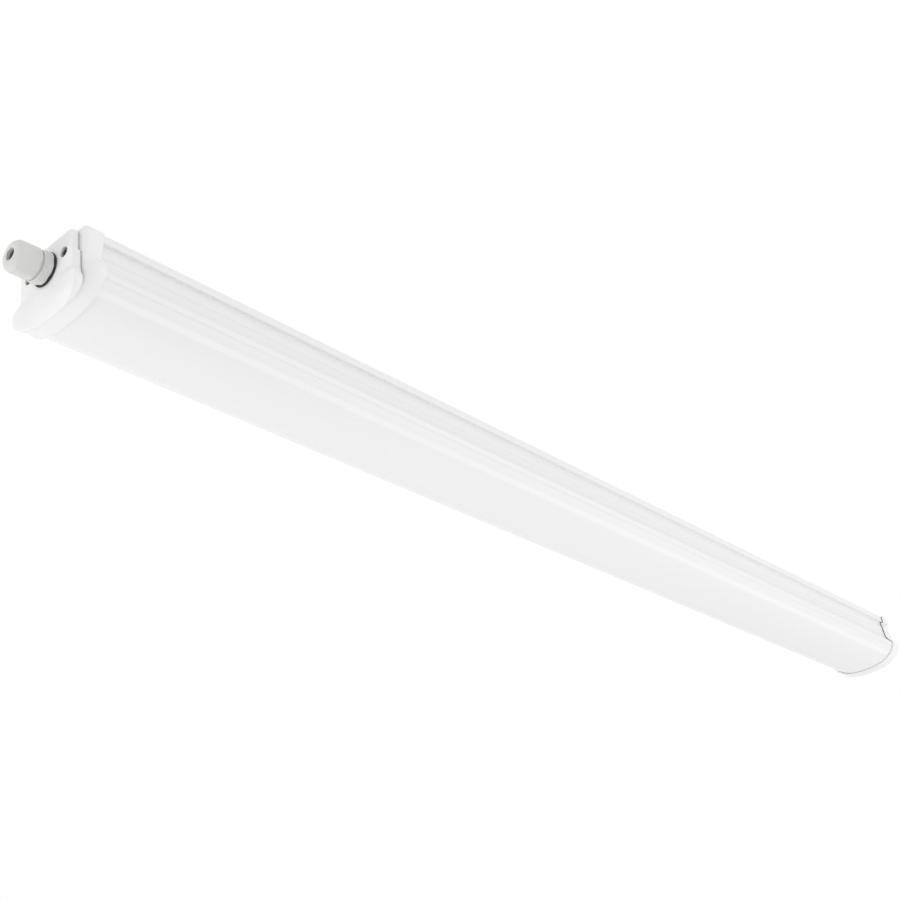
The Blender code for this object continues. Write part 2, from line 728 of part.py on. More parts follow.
def make_blank_end_cap():
    """A cap that sleeves over the body's far end and repeats its section."""
    def ring(x, back_off):
        outline = body_outline(CAP_SIDE - back_off, CAP_SIDE - back_off)
        return [(x, y, z) for y, z in outline]

    rings = [ring(FAR_RIM, 0)]
    for angle in (0, math.pi / 6, math.pi / 3, math.pi / 2):
        rings.append(ring(CAP_END - CAP_ROUND * (1 - math.sin(angle)), CAP_ROUND * (1 - math.cos(angle))))
    cap = loft("blank_end_cap", rings)
    sleeve = section_bar("sleeve", [body_outline(CLEARANCE, CLEARANCE, top=OVERRUN)],
                         FAR_RIM - OVERRUN, CAP_SHOULDER, CUTTERS)
    hollow = section_bar("hollow", [body_outline(-CAP_RIM, -CAP_RIM, top=-CAP_RIM)],
                         CAP_SHOULDER - OVERRUN, CAP_END - CAP_FRONT, CUTTERS)
    cut(cap, sleeve, hollow, self_cross=True)
    boss_end = CAP_END - CAP_BOSS_LENGTH
    unite(cap, *end_rods("boss", boss_end, CAP_END - CAP_FRONT / 2, BOSS_RADIUS), self_cross=True)
    cut(cap, *end_rods("recess", boss_end + RECESS_FLOOR, CAP_END + OVERRUN, RECESS_RADIUS),
        *end_rods("screw_hole", boss_end - OVERRUN, CAP_END, SCREW_RADIUS + CLEARANCE), self_cross=True)
    finish(cap, "housing_white", SMOOTH_ANGLE)


def make_blank_end_gasket():
    inside = body_outline(-CAP_RIM, -CAP_RIM, top=-CAP_RIM)
    ring = section_bar("blank_end_gasket", [body_outline(0, 0), inside], BODY_END + CLEARANCE,
                       CAP_SHOULDER - CLEARANCE)
    finish(ring, "gasket_white")


def make_screw(name, seat, direction, length, radius, head_radius, head_height, sides, slot="screw_steel"):
    """A cross-head screw whose head rests on the seat, with its shank along the direction."""
    seat, direction = Vector(seat), Vector(direction)
    top = seat - direction * head_height
    screw = rod(name, seat, top, head_radius, sides)
    shank = rod("shank", seat - direction * head_height / 2, seat + direction * length, radius, sides,
                CUTTERS)
    unite(screw, shank)
    across = Vector((0, 0, 1)) if abs(direction.z) < abs(direction.x) else Vector((1, 0, 0))
    along = direction.cross(across)
    floor = top + direction * min(SCREW_SLOT_DEPTH, head_height / 2)
    for arm, other in ((across, along), (along, across)):
        corners = (floor - arm * head_radius * SCREW_CROSS_SHARE - other * SCREW_SLOT / 2,
                   top - direction * OVERRUN + arm * head_radius * SCREW_CROSS_SHARE + other * SCREW_SLOT / 2)
        low = [min(a, b) for a, b in zip(*corners)]
        high = [max(a, b) for a, b in zip(*corners)]
        cut(screw, box("cross", low, high, CUTTERS))
    return finish(screw, slot, SMOOTH_ANGLE)


def make_end_screws():
    near_seat = COLLAR_FRONT - CLEARANCE - RECESS_FLOOR - CLEARANCE
    far_seat = CAP_END - CAP_BOSS_LENGTH + RECESS_FLOOR + CLEARANCE
    far_length = far_seat - TRAY_END + TRAY_SHEET + SMALL_SCREW_PROUD
    for side, word in ((-1, "front"), (1, "rear")):
        y = side * SCREW_HALF_PITCH
        make_screw("gland_end_screw_" + word, (near_seat, y, -SCREW_DEPTH), (1, 0, 0), SCREW_GRIP,
                   SCREW_RADIUS, SCREW_HEAD_RADIUS, SCREW_HEAD_HEIGHT, ROUND_SIDES)
        make_screw("blank_end_screw_" + word, (far_seat, y, -SCREW_DEPTH), (-1, 0, 0), far_length,
                   SCREW_RADIUS, SCREW_HEAD_RADIUS, SCREW_HEAD_HEIGHT, ROUND_SIDES)


# Cable gland

def make_gland():
    washer_back = COVER_FRONT - CLEARANCE
    washer_front = washer_back - WASHER_THICKNESS
    hex_back = washer_front - CLEARANCE
    hex_front = hex_back - HEX_LENGTH
    ring_front = hex_front - NECK_RING_LENGTH
    spigot_front = ring_front - SPIGOT_LENGTH
    locknut_front = COVER_BACK + CLEARANCE
    locknut_back = locknut_front + LOCKNUT_LENGTH
    thread_end = locknut_back + REAR_THREAD_PROUD

    inner = GLAND_THREAD_RADIUS + CLEARANCE
    washer = turned("gland_washer", [(washer_front, inner), (washer_front, WASHER_RADIUS),
                                     (washer_back, WASHER_RADIUS), (washer_back, inner)])
    finish(washer, "seal_black", SMOOTH_ANGLE)

    body = turned("gland_body", [
        (spigot_front, GLAND_BORE_RADIUS), (spigot_front, SPIGOT_RADIUS - HEX_CHAMFER),
        (spigot_front + HEX_CHAMFER, SPIGOT_RADIUS), (ring_front, SPIGOT_RADIUS),
        (ring_front, NECK_RING_RADIUS), (hex_front, NECK_RING_RADIUS),
        (hex_front, HEX_ROUND_RADIUS - HEX_CHAMFER), (hex_front + HEX_CHAMFER, HEX_ROUND_RADIUS),
        (hex_back, HEX_ROUND_RADIUS), (hex_back, GLAND_THREAD_RADIUS),
        (thread_end, GLAND_THREAD_RADIUS), (thread_end, GLAND_BORE_RADIUS)])
    flats = hex_prism("flats", hex_front - CLEARANCE / 2, hex_back + CLEARANCE / 2, HEX_ACROSS_FLATS)
    stem = gland_rod("stem", spigot_front - OVERRUN, thread_end + OVERRUN, NECK_RING_RADIUS + CLEARANCE)
    unite(flats, stem)
    combine(body, [flats], "INTERSECT")
    finish(body, "gland_grey", SMOOTH_ANGLE)

    nut_back = hex_front - NECK_RING_LENGTH
    nut_front = nut_back - NUT_LENGTH
    thread = SPIGOT_RADIUS + CLEARANCE
    dome_start = nut_back - NUT_LENGTH * NUT_DOME_SHARE
    angles = [math.pi / 2 * (1 - i / NUT_DOME_STEPS) for i in range(NUT_DOME_STEPS + 1)]
    dome = [(nut_front + (dome_start - nut_front) * (1 - math.sin(angle)),
             NUT_MOUTH_RADIUS + (NUT_RADIUS - NUT_MOUTH_RADIUS) * math.cos(angle)) for angle in angles]
    throat = spigot_front - CLEARANCE
    nut = turned("gland_cap_nut", [(nut_front, NUT_BORE_RADIUS)] + dome + [
        (nut_back - HEX_CHAMFER, NUT_TAIL_RADIUS), (nut_back, NUT_TAIL_RADIUS - HEX_CHAMFER),
        (nut_back, thread), (throat, thread), (nut_front + NUT_LIP * 2, SEAL_FRONT_RADIUS + CLEARANCE * 2),
        (nut_front + NUT_LIP, NUT_BORE_RADIUS)])
    nut_flats = hex_prism("flats", nut_back - NUT_FLAT_LENGTH, nut_back + OVERRUN, NUT_FLATS)
    nose = gland_rod("nose", nut_front - OVERRUN, nut_back - NUT_FLAT_LENGTH + CLEARANCE,
                     NUT_RADIUS + OVERRUN)
    unite(nut_flats, nose)
    combine(nut, [nut_flats], "INTERSECT")
    finish(nut, "gland_grey", SMOOTH_ANGLE)

    seal_front = nut_front + NUT_LIP * 2 + CLEARANCE
    seal_back = seal_front + SEAL_LENGTH
    seal_taper = spigot_front - CLEARANCE
    seal = turned("gland_seal", [
        (seal_front, SEAL_BORE_RADIUS), (seal_front, SEAL_FRONT_RADIUS - CLEARANCE),
        (seal_taper, SEAL_RADIUS), (seal_back, SEAL_RADIUS), (seal_back, SEAL_BORE_RADIUS)])
    finish(seal, "seal_black", SMOOTH_ANGLE)

    locknut = hex_prism("gland_locknut", locknut_front, locknut_back, LOCKNUT_FLATS)
    CUTTERS.objects.unlink(locknut)
    PARTS.objects.link(locknut)
    cut(locknut, gland_rod("thread", locknut_front - OVERRUN, locknut_back + OVERRUN,
                           GLAND_THREAD_RADIUS + CLEARANCE))
    finish(locknut, "gland_grey", SMOOTH_ANGLE)


# Gear tray and LED boards

def floor_hole(x, y, radius, thickness=0):
    """A hole through the boards, the tray and a foot of the given thickness on it."""
    return rod("hole", (x, y, -BOARD_UNDER - OVERRUN), (x, y, -SEAT + thickness + OVERRUN), radius,
               SMALL_SIDES, CUTTERS)


def board_screw_places():
    places = []
    for start, side in zip(BOARD_STARTS, (1, -1)):
        places.append((start + BOARD_SCREW_INSET, side * BOARD_SCREW_OFFSET))
        places.append((start + BOARD_LENGTH - BOARD_SCREW_INSET, side * BOARD_SCREW_OFFSET))
    return places


def driver_screw_places():
    y = DRIVER_HALF - DRIVER_EAR_INSET
    return [(DRIVER_X0 - DRIVER_EAR / 2, -y), (DRIVER_X1 + DRIVER_EAR / 2, y)]


def terminal_screw_place():
    return ((TERMINAL_X0 + TERMINAL_X1) / 2, TERMINAL_HALF + TERMINAL_EAR / 2)


def earth_place():
    return (TRAY_START + EARTH_POINT, EARTH_OFFSET)


def pass_holes():
    return [(INLET_PLACE, side * PASS_HOLE_OFFSET) for side in (-1, 1)]


def make_gear_tray():
    inside = half_at(inset([(0, 0)] + side_points(0), WALL), TRAY_TOP)
    half = inside - TRAY_SIDE_GAP
    fold = half - TRAY_SHEET
    right = [(fold, -TRAY_TOP), (fold, -TRAY_FLANGE_TOP), (half, -TRAY_FLANGE_TOP), (half, -TRAY_UNDER)]
    outline = right + [(-y, z) for y, z in reversed(right)]
    tray = section_bar("gear_tray", [outline], TRAY_START, TRAY_END)
    tab = box("tab", (TRAY_END - TRAY_SHEET, -TRAY_TAB_HALF, -TRAY_TOP - TRAY_SHEET / 2),
              (TRAY_END, TRAY_TAB_HALF, -SCREW_DEPTH + TRAY_TAB_RISE), CUTTERS)
    unite(tray, tab)
    for hole in end_rods("tab_hole", TRAY_END - OVERRUN, TRAY_END + OVERRUN, SCREW_RADIUS + CLEARANCE):
        cut(tray, hole)
    screws = board_screw_places() + driver_screw_places() + [terminal_screw_place(), earth_place()]
    for x, y in screws:
        cut(tray, floor_hole(x, y, SMALL_SCREW_RADIUS + CLEARANCE))
    for x, y in pass_holes():
        cut(tray, floor_hole(x, y, PASS_HOLE_RADIUS))
    finish(tray, "tray_steel")


def make_led_boards():
    """Two boards under the tray, each with its LEDs, and an inlet on the first."""
    screws = board_screw_places()
    for word, start, places in zip(("gland_side", "blank_side"), BOARD_STARTS, (screws[:2], screws[2:])):
        board = box("led_board_" + word, (start, -BOARD_HALF, -BOARD_UNDER),
                    (start + BOARD_LENGTH, BOARD_HALF, -BOARD_TOP))
        bm = bmesh.new()
        for number in range(LED_COUNT):
            middle = start + (number + 1 / 2) * LED_PITCH
            made = bmesh.ops.create_cube(bm, size=1)["verts"]
            for vert in made:
                vert.co.x = middle + vert.co.x * LED_LENGTH
                vert.co.y = vert.co.y * LED_WIDTH
                vert.co.z = -BOARD_UNDER + vert.co.z * LED_HEIGHT * 2
        unite(board, link_mesh("leds", bm, CUTTERS))
        if start == BOARD_START:
            low = (INLET_PLACE - INLET_LENGTH / 2, -INLET_HALF, -BOARD_UNDER - INLET_HEIGHT)
            high = (INLET_PLACE + INLET_LENGTH / 2, INLET_HALF, -BOARD_UNDER + BOARD_THICKNESS / 2)
            unite(board, box("inlet", low, high, CUTTERS))
        for x, y in places:
            cut(board, floor_hole(x, y, SMALL_SCREW_RADIUS + CLEARANCE))
        finish(board, "board_white")
    feed = box("feed_connector",
               (BOARD_JOIN - FEED_LENGTH / 2, -FEED_HALF, -BOARD_UNDER - CLEARANCE - FEED_HEIGHT),
               (BOARD_JOIN + FEED_LENGTH / 2, FEED_HALF, -BOARD_UNDER - CLEARANCE))
    finish(rounded(feed, FEED_ROUND), "terminal_white")


def make_small_screws():
    seat = -(BOARD_UNDER + CLEARANCE)
    length = BOARD_UNDER - TRAY_TOP + CLEARANCE + SMALL_SCREW_PROUD
    for number, (x, y) in enumerate(board_screw_places(), 1):
        make_screw("board_screw_%d" % number, (x, y, seat), (0, 0, 1), length, SMALL_SCREW_RADIUS,
                   SMALL_HEAD_RADIUS, SMALL_HEAD_HEIGHT, SMALL_SIDES)
    ears = [("driver_screw_%d" % number, place, DRIVER_WALL)
            for number, place in enumerate(driver_screw_places(), 1)]
    ears.append(("terminal_screw", terminal_screw_place(), TERMINAL_EAR_HEIGHT))
    ears.append(("earth_screw", earth_place(), -CLEARANCE))
    for name, (x, y), thickness in ears:
        seat = -SEAT + thickness + CLEARANCE
        length = thickness + 2 * CLEARANCE + TRAY_SHEET + SMALL_SCREW_PROUD
        make_screw(name, (x, y, seat), (0, 0, -1), length, SMALL_SCREW_RADIUS, SMALL_HEAD_RADIUS,
                   SMALL_HEAD_HEIGHT, SMALL_SIDES)


# LED driver

def lead_hole(name, x0, x1, y, z):
    return rod(name, (x0, y, z), (x1, y, z), LEAD_HOLE_RADIUS, SMALL_SIDES, CUTTERS)


def driver_lead_height():
    return -SEAT + DRIVER_WALL + DRIVER_POST + DRIVER_BOARD_THICKNESS + CLEARANCE + DRIVER_INLET_HEIGHT / 2


def make_driver():
    floor = -SEAT
    top = floor + DRIVER_HEIGHT
    case = box("driver_case", (DRIVER_X0, -DRIVER_HALF, floor), (DRIVER_X1, DRIVER_HALF, top))
    unite(case, box("ears", (DRIVER_X0 - DRIVER_EAR, -DRIVER_HALF, floor),
                    (DRIVER_X1 + DRIVER_EAR, DRIVER_HALF, floor + DRIVER_WALL), CUTTERS))
    cut(case, box("cavity", (DRIVER_X0 + DRIVER_WALL, -DRIVER_HALF + DRIVER_WALL, floor + DRIVER_WALL),
                  (DRIVER_X1 - DRIVER_WALL, DRIVER_HALF - DRIVER_WALL, top + OVERRUN), CUTTERS))
    posts = []
    post_top = floor + DRIVER_WALL + DRIVER_POST
    for x in (DRIVER_X0 + DRIVER_HALF / 2, DRIVER_X1 - DRIVER_HALF / 2):
        for y in (-DRIVER_HALF / 2, DRIVER_HALF / 2):
            posts.append(rod("post", (x, y, floor + DRIVER_WALL / 2), (x, y, post_top), DRIVER_POST_RADIUS,
                             SMALL_SIDES, CUTTERS))
    unite(case, *posts)
    height = driver_lead_height()
    for x in (DRIVER_X0, DRIVER_X1):
        for y in (-LEAD_PITCH / 2, LEAD_PITCH / 2):
            cut(case, lead_hole("lead_hole", x - OVERRUN, x + OVERRUN, y, height))
    for x, y in driver_screw_places():
        cut(case, floor_hole(x, y, SMALL_SCREW_RADIUS + CLEARANCE))
    finish(case, "driver_grey")

    lid_floor = top + CLEARANCE
    lid = box("driver_lid", (DRIVER_X0, -DRIVER_HALF, lid_floor),
              (DRIVER_X1, DRIVER_HALF, lid_floor + DRIVER_LID))
    inner = DRIVER_WALL + CLEARANCE
    unite(lid, box("step", (DRIVER_X0 + inner, -DRIVER_HALF + inner, lid_floor - DRIVER_LID_STEP),
                   (DRIVER_X1 - inner, DRIVER_HALF - inner, lid_floor + DRIVER_LID / 2), CUTTERS))
    finish(lid, "driver_grey")

    low = post_top + CLEARANCE
    high = low + DRIVER_BOARD_THICKNESS
    start = DRIVER_X0 + DRIVER_WALL + DRIVER_BOARD_INSET
    end = DRIVER_X1 - DRIVER_WALL - DRIVER_BOARD_INSET
    half = DRIVER_HALF - DRIVER_WALL - DRIVER_BOARD_INSET
    board = box("driver_board", (start, -half, low), (end, half, high))
    root = high - DRIVER_BOARD_THICKNESS / 2
    middle = (start + end) / 2
    blocks = [box("coil", (middle - COIL_LENGTH / 2, -COIL_HALF, root),
                  (middle + COIL_LENGTH / 2, COIL_HALF, high + COIL_HEIGHT), CUTTERS)]
    for x in (start + OVERRUN, end - OVERRUN - DRIVER_INLET_LENGTH):
        blocks.append(box("inlet", (x, -DRIVER_INLET_HALF, root),
                          (x + DRIVER_INLET_LENGTH, DRIVER_INLET_HALF, high + DRIVER_INLET_HEIGHT), CUTTERS))
    for side in (-1, 1):
        for number in range(CAN_COUNT):
            x = middle + side * (COIL_LENGTH / 2 + CAN_RADIUS * 2 + number * CAN_PITCH)
            y = CAN_RADIUS * (1 if number % 2 else -1)
            blocks.append(rod("can", (x, y, root), (x, y, high + CAN_HEIGHT), CAN_RADIUS, SMALL_SIDES,
                              CUTTERS))
    unite(board, *blocks)
    finish(board, "board_green")


# Mains terminal block

def terminal_columns():
    names = ("line", "neutral", "earth")
    return [(name, (number - 1) * LEAD_PITCH) for number, name in enumerate(names)]


def make_terminal():
    floor = -SEAT
    top = floor + TERMINAL_HEIGHT
    block = box("terminal_block", (TERMINAL_X0, -TERMINAL_HALF, floor), (TERMINAL_X1, TERMINAL_HALF, top))
    x, y = terminal_screw_place()
    unite(block, box("ear", (TERMINAL_X0 + TERMINAL_EAR, 0, floor),
                     (TERMINAL_X1 - TERMINAL_EAR, TERMINAL_HALF + TERMINAL_EAR, floor + TERMINAL_EAR_HEIGHT),
                     CUTTERS))
    cut(block, floor_hole(x, y, SMALL_SCREW_RADIUS + CLEARANCE, TERMINAL_EAR_HEIGHT))
    middle = (TERMINAL_X0 + TERMINAL_X1) / 2
    half_x, half_y = BUTTON_LENGTH / 2, BUTTON_WIDTH / 2
    pocket = BUTTON_SEAT + BUTTON_TRAVEL + CLEARANCE
    for name, column in terminal_columns():
        height = floor + TERMINAL_HOLE_RISE
        cut(block, lead_hole("out", TERMINAL_X1 - TERMINAL_HOLE_DEPTH, TERMINAL_X1 + OVERRUN, column, height),
            lead_hole("in", TERMINAL_X0 - OVERRUN, TERMINAL_X0 + TERMINAL_HOLE_DEPTH, column, height),
            box("pocket", (middle - half_x - CLEARANCE, column - half_y - CLEARANCE, top - pocket),
                (middle + half_x + CLEARANCE, column + half_y + CLEARANCE, top + OVERRUN), CUTTERS))
        button = box("terminal_button_" + name, (-half_x, -half_y, -BUTTON_SEAT),
                     (half_x, half_y, BUTTON_PROUD))
        button.location = (middle, column, top)
        finish(rounded(button, BUTTON_ROUND), "button_orange")
    finish(block, "terminal_white")


# Inner leads

def smooth_route(points):
    """A denser line through the route's points, without corners."""
    points = [Vector(point) for point in points]
    padded = [points[0] * 2 - points[1]] + points + [points[-1] * 2 - points[-2]]
    route = []
    for p0, p1, p2, p3 in zip(padded, padded[1:], padded[2:], padded[3:]):
        for number in range(LEAD_SAMPLES):
            t = number / LEAD_SAMPLES
            route.append(((2 * p1) + (p2 - p0) * t + (2 * p0 - 5 * p1 + 4 * p2 - p3) * t ** 2
                          + (3 * p1 - p0 - 3 * p2 + p3) * t ** 3) / 2)
    route.append(points[-1])
    return route


def make_lead(name, points, slot):
    curve = bpy.data.curves.new(name, "CURVE")
    curve.dimensions = "3D"
    curve.bevel_depth = LEAD_RADIUS
    curve.bevel_resolution = 2
    curve.use_fill_caps = True
    route = smooth_route(points)
    spline = curve.splines.new("POLY")
    spline.points.add(len(route) - 1)
    for point, place in zip(spline.points, route):
        point.co = (*place, 1)
    guide = bpy.data.objects.new(name + "_route", curve)
    CUTTERS.objects.link(guide)
    finish(from_curve(name, guide), slot, SMOOTH_ANGLE)


def make_leads():
    height = -SEAT + TERMINAL_HOLE_RISE
    driver_height = driver_lead_height()
    out = TERMINAL_X1 - LEAD_INSERT
    clear = TERMINAL_X1 + EXIT_RUN
    inlet_gap = DRIVER_WALL + DRIVER_BOARD_INSET + OVERRUN - CLEARANCE
    columns = dict(terminal_columns())
    for name, word, column, slot in (("line_lead", "line", -LEAD_PITCH / 2, "lead_brown"),
                                     ("neutral_lead", "neutral", LEAD_PITCH / 2, "lead_blue")):
        y = columns[word]
        make_lead(name, [(out, y, height), (TERMINAL_X1, y, height), (clear, y, height),
                         (DRIVER_X0 - EXIT_RUN, column, driver_height), (DRIVER_X0, column, driver_height),
                         (DRIVER_X0 + inlet_gap, column, driver_height)], slot)
    y = columns["earth"]
    x, tag_y = earth_place()
    tag_height = -TRAY_TOP + LEAD_RADIUS + CLEARANCE
    make_lead("earth_lead", [(out, y, height), (TERMINAL_X1, y, height), (clear, y, height),
                             ((clear + x) / 2, (y + tag_y) / 2, (height + tag_height) / 2),
                             (x - SMALL_HEAD_RADIUS - EXIT_RUN / 2, tag_y, tag_height),
                             (x - SMALL_HEAD_RADIUS - CLEARANCE, tag_y, tag_height)], "lead_green")
    dip = -BOARD_UNDER - PASS_DIP
    pad = -BOARD_UNDER - INLET_HEIGHT / 2
    for name, side, slot in (("led_plus_lead", -1, "lead_red"), ("led_minus_lead", 1, "lead_black")):
        y = side * LEAD_PITCH / 2
        hole_x, hole_y = pass_holes()[0][0], side * PASS_HOLE_OFFSET
        make_lead(name, [(DRIVER_X1 - inlet_gap, y, driver_height), (DRIVER_X1, y, driver_height),
                         (DRIVER_X1 + EXIT_RUN, y, driver_height),
                         (hole_x - EXIT_RUN * 2, hole_y, -TRAY_FLANGE_TOP),
                         (hole_x, hole_y, -TRAY_TOP + LEAD_RADIUS * 2), (hole_x, hole_y, -BOARD_UNDER),
                         (hole_x, hole_y - side * LEAD_RADIUS, dip + LEAD_RADIUS * 2),
                         (hole_x, side * (INLET_HALF + EXIT_RUN / 2), pad),
                         (hole_x, side * (INLET_HALF + CLEARANCE), pad)], slot)


clear_scene()
PARTS = new_collection("linear_batten_light")
CUTTERS = new_collection("cutters")
make_housing()
make_diffuser()
make_gland_end_collar()
make_gland_end_cover()
make_gland_end_gasket()
make_blank_end_cap()
make_blank_end_gasket()
make_end_screws()
make_gland()
make_gear_tray()
make_led_boards()
make_small_screws()
make_driver()
make_terminal()
make_leads()
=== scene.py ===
"""Looks for a sealed linear batten light, seen from below and from its cable end."""
import json
import math
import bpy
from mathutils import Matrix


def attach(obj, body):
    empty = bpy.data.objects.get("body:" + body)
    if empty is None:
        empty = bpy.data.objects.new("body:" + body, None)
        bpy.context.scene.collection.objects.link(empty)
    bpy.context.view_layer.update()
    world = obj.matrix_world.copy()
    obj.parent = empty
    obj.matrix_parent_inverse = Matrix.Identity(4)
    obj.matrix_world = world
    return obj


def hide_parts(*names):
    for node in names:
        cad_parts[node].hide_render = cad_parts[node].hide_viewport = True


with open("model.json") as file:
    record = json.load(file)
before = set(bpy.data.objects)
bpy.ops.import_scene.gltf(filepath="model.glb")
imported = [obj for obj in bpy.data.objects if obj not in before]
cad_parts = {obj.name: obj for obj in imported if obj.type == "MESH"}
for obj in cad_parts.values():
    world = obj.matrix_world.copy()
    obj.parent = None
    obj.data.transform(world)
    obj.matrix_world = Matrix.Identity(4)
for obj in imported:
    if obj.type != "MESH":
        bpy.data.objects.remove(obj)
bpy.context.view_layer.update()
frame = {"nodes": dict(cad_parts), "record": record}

from types import SimpleNamespace

import bmesh
import bpy
from bpy.props import FloatProperty, FloatVectorProperty, PointerProperty
from mathutils import Matrix, Vector

bl_info = {
    "name": "Linear batten light",
    "version": (1, 0, 0),
    "blender": (4, 5, 0),
    "location": "3D View > Sidebar > Batten",
    "description": "Builds the mouldings, fittings and finishes of a sealed linear batten light",
    "category": "Object",
}

SMOOTH_ANGLE = math.radians(35)
EXTRUSION_ANGLE = math.radians(28)
GLAND_ANGLE = math.radians(20)
SHARP_CORNER = math.radians(14)
MERGE = 1e-5
WELD = MERGE / 4

# Height of the moulded grain
GRAIN_DEPTH = 0.0001

# Lengths in metres: how far a cutter runs past its piece, and the space between fitted pieces
OVERRUN = 0.002
GAP = 0.0003

# The extrusion's section: the blend from side wall to crown
FOOT_POINTS = 9
FOOT_BLEND = 0.007
DIFFUSER_WALL = 0.002

# Both ends: screw bosses, their bores, and the floor under a screw's head
BOSS = 0.005
SCREW_BORE = 0.0019
SEAT = 0.0013
COLLAR_BOSS_LENGTH = 0.009
CAP_BOSS_LENGTH = 0.0071
END_ROUND = 0.0006

# Openings round the back nut, and round the bosses in the gasket
NUT_OPENING = 0.01436
BOSS_HOLE = 0.0053

# The cover: half-widths of its block at the back, the front and its shoulders, and its edges
BLOCK_BACK, BLOCK_TAPER, SHOULDER = 0.0316, 0.0012, 0.0342
BLOCK_FOOT, SHOULDER_TOP, SHOULDER_FOOT = 0.019, 0.022, 0.035
COVER_TOP, COVER_CORNER, COVER_FOOT = 0.001, 0.003, 0.0016
COVER_FRONT_EDGE, COVER_BACK_EDGE, COVER_STEP_ROUND = 0.0008, 0.0004, 0.0027
SWELL_DEPTHS, SWELL_HALVES = (0.0335, 0.0405), (0.012, 0.032)
GASKET_HALF, GASKET_WALL, GASKET_END, GASKET_ROUND = 0.0346, 0.042, 0.0455, 0.001

# The collar's section, and the depths over which its front closes on the cover
COLLAR_CHAMFER, COLLAR_WALL, COLLAR_CROWN = 0.0012, (0.003, 0.04), 0.041
COLLAR_BLEND, COLLAR_CLOSING, COVER_SPACE = (0.0215, 0.04), (0.042, 0.054), 0.0001

# Where the rings of collar and cover lie, as shares of their lengths, and of the front faces, as
# shares of the edge; shares of the collar's length over which its front narrows, tapers and
# rounds, and of the cover's thickness where its front edge starts and its back edge ends
COLLAR_RINGS = (0, 0.012, 0.03, 0.055, 0.09, 0.14, 0.2, 0.27, 0.35, 0.44, 0.54, 0.64, 0.74, 0.84,
                0.93)
COLLAR_FACE = (0.2, 0.5, 0.75, 0.9, 0.97)
NARROW_SPAN, TAPER_SPAN, ROUND_SPAN = 0.22, 0.62, 0.055
COVER_RINGS = (0, 0.04, 0.12, 0.3, 0.5, 0.66, 0.76, 0.84, 0.9, 0.94, 0.97, 0.99, 1)
COVER_FACE = (0.985, 0.96, 0.92, 0.87, 0.81, 0.74, 0.66, 0.57, 0.47, 0.36, 0.2)
FRONT_EDGE_START, BACK_EDGE_END = 0.84, 0.12

# The blank end's cap
CAP_WALL, CAP_FRONT, CAP_CORNER, CAP_CLEARANCE = 0.0026, 0.0022, 0.0007, 0.0016
SEAL_SPACE, SEAL_FRONT, SEAL_BACK, SEAL_UNDER = 0.00002, 0.0005, 0.0002, 0.3

# The gland
BACK_NUT_FLATS, BACK_NUT_LENGTH = 0.024, 0.0048
THREAD_PAST_COVER = 0.0063
HEXAGON_CORNER, HEXAGON_ROUND, HEXAGON_EDGE, FLATS_PAST = 0.0031, 0.0012, 0.0004, 0.0002
SPIGOT, SPIGOT_TIP = 0.0098, 0.009
NUT_THREAD, NUT_THROAT, MOUTH_ROUND = 0.0101, 0.0066, 0.0005
NUT_TAIL_EDGE = ((0.0008, 0.0002), (0.0003, -0.0001), (0, -0.0005))
SEAL_BORE, SEAL_TIP, SEAL_RADIUS, SEAL_LENGTH = 0.0044, 0.0057, 0.0072, 0.0115

# End screws: radius and height of the head, radius of the shank, lengths below the head, and the
# cross recess as shares of the head's radius
HEAD, HEAD_HEIGHT, SHANK = 0.0039, 0.0046, 0.0016
SCREW_REACH, LONG_SCREW_REACH = 0.0087, 0.0163
CROSS_REACH, CROSS_WIDTH = 0.62, 0.15

# The camera fitted to the photograph: place, turns in degrees, focal length in pixels, width of
# the picture in pixels, and width of the sensor in millimetres
CAMERA_PLACE = (-1.12136, -0.72300, -0.69227)
CAMERA_YAW, CAMERA_PITCH, CAMERA_ROLL = 37.719, 29.792, -8.021
CAMERA_FOCAL, PICTURE_WIDTH, SENSOR_WIDTH = 1491.62, 900, 36


def length(name, default, text=""):
    return FloatProperty(name=name, description=text or name, default=default, min=0.0,
                         unit="LENGTH", precision=5)


def share(name, default, text, highest=1.0):
    return FloatProperty(name=name, description=text, default=default, min=0.0, max=highest,
                         precision=4)


def paint(name, default):
    return FloatVectorProperty(name=name, description="Colour", default=default, size=3, min=0.0,
                               max=1.0, subtype="COLOR")


# Sizes and colours that a user would change

class BattenBodySizes(bpy.types.PropertyGroup):
    near_rim: length("Gland end rim", 0.6, "Distance from the middle to the gland end's rim")
    far_rim: length("Blank end rim", 0.6, "Distance from the middle to the blank end's rim")
    lip_half: length("Lip half-width", 0.03715, "Half the width of the back")
    lip_height: length("Lip height", 0.008)
    lip_chamfer: length("Lip chamfer", 0.0012, "Bevel along the back's edges")
    neck_half: length("Neck half-width", 0.0339, "Half-width in the channel under the lip")
    neck_height: length("Neck height", 0.0055, "Height of the channel under the lip")
    wall_half: length("Wall half-width", 0.0346, "Half-width at the top of the side wall")
    foot_half: length("Wall foot half-width", 0.0355, "Half-width at the foot of the side wall")
    wall_height: length("Side wall height", 0.0178)
    flare_height: length("Flare height", 0.0062, "Height over which the side flares out below")
    groove_drop: length("Groove drop", 0.006, "Distance of the side groove below the wall's top")
    groove_height: length("Side groove height", 0.0018)
    groove_depth: length("Side groove depth", 0.0007)
    crown_half: length("Underside half-width", 0.0432)
    crown_drop: length("Crown drop", 0.0304, "Height of the rounded underside below its centre")
    crown_lead: length("Crown lead", 0.0088, "Distance of the crown's centre above the flare's end")
    crown_power: share("Crown power", 2.48, "Squareness of the rounded underside", 6.0)
    seam_drop: length("Seam drop", 0.0048, "Distance of the diffuser's edge below the flare's end")
    wall: length("Extrusion wall thickness", 0.0018)
    seam: length("Seam", 0.00012, "Open line between the housing and the diffuser")
    edge_round: length("Extrusion corner radius", 0.0005)


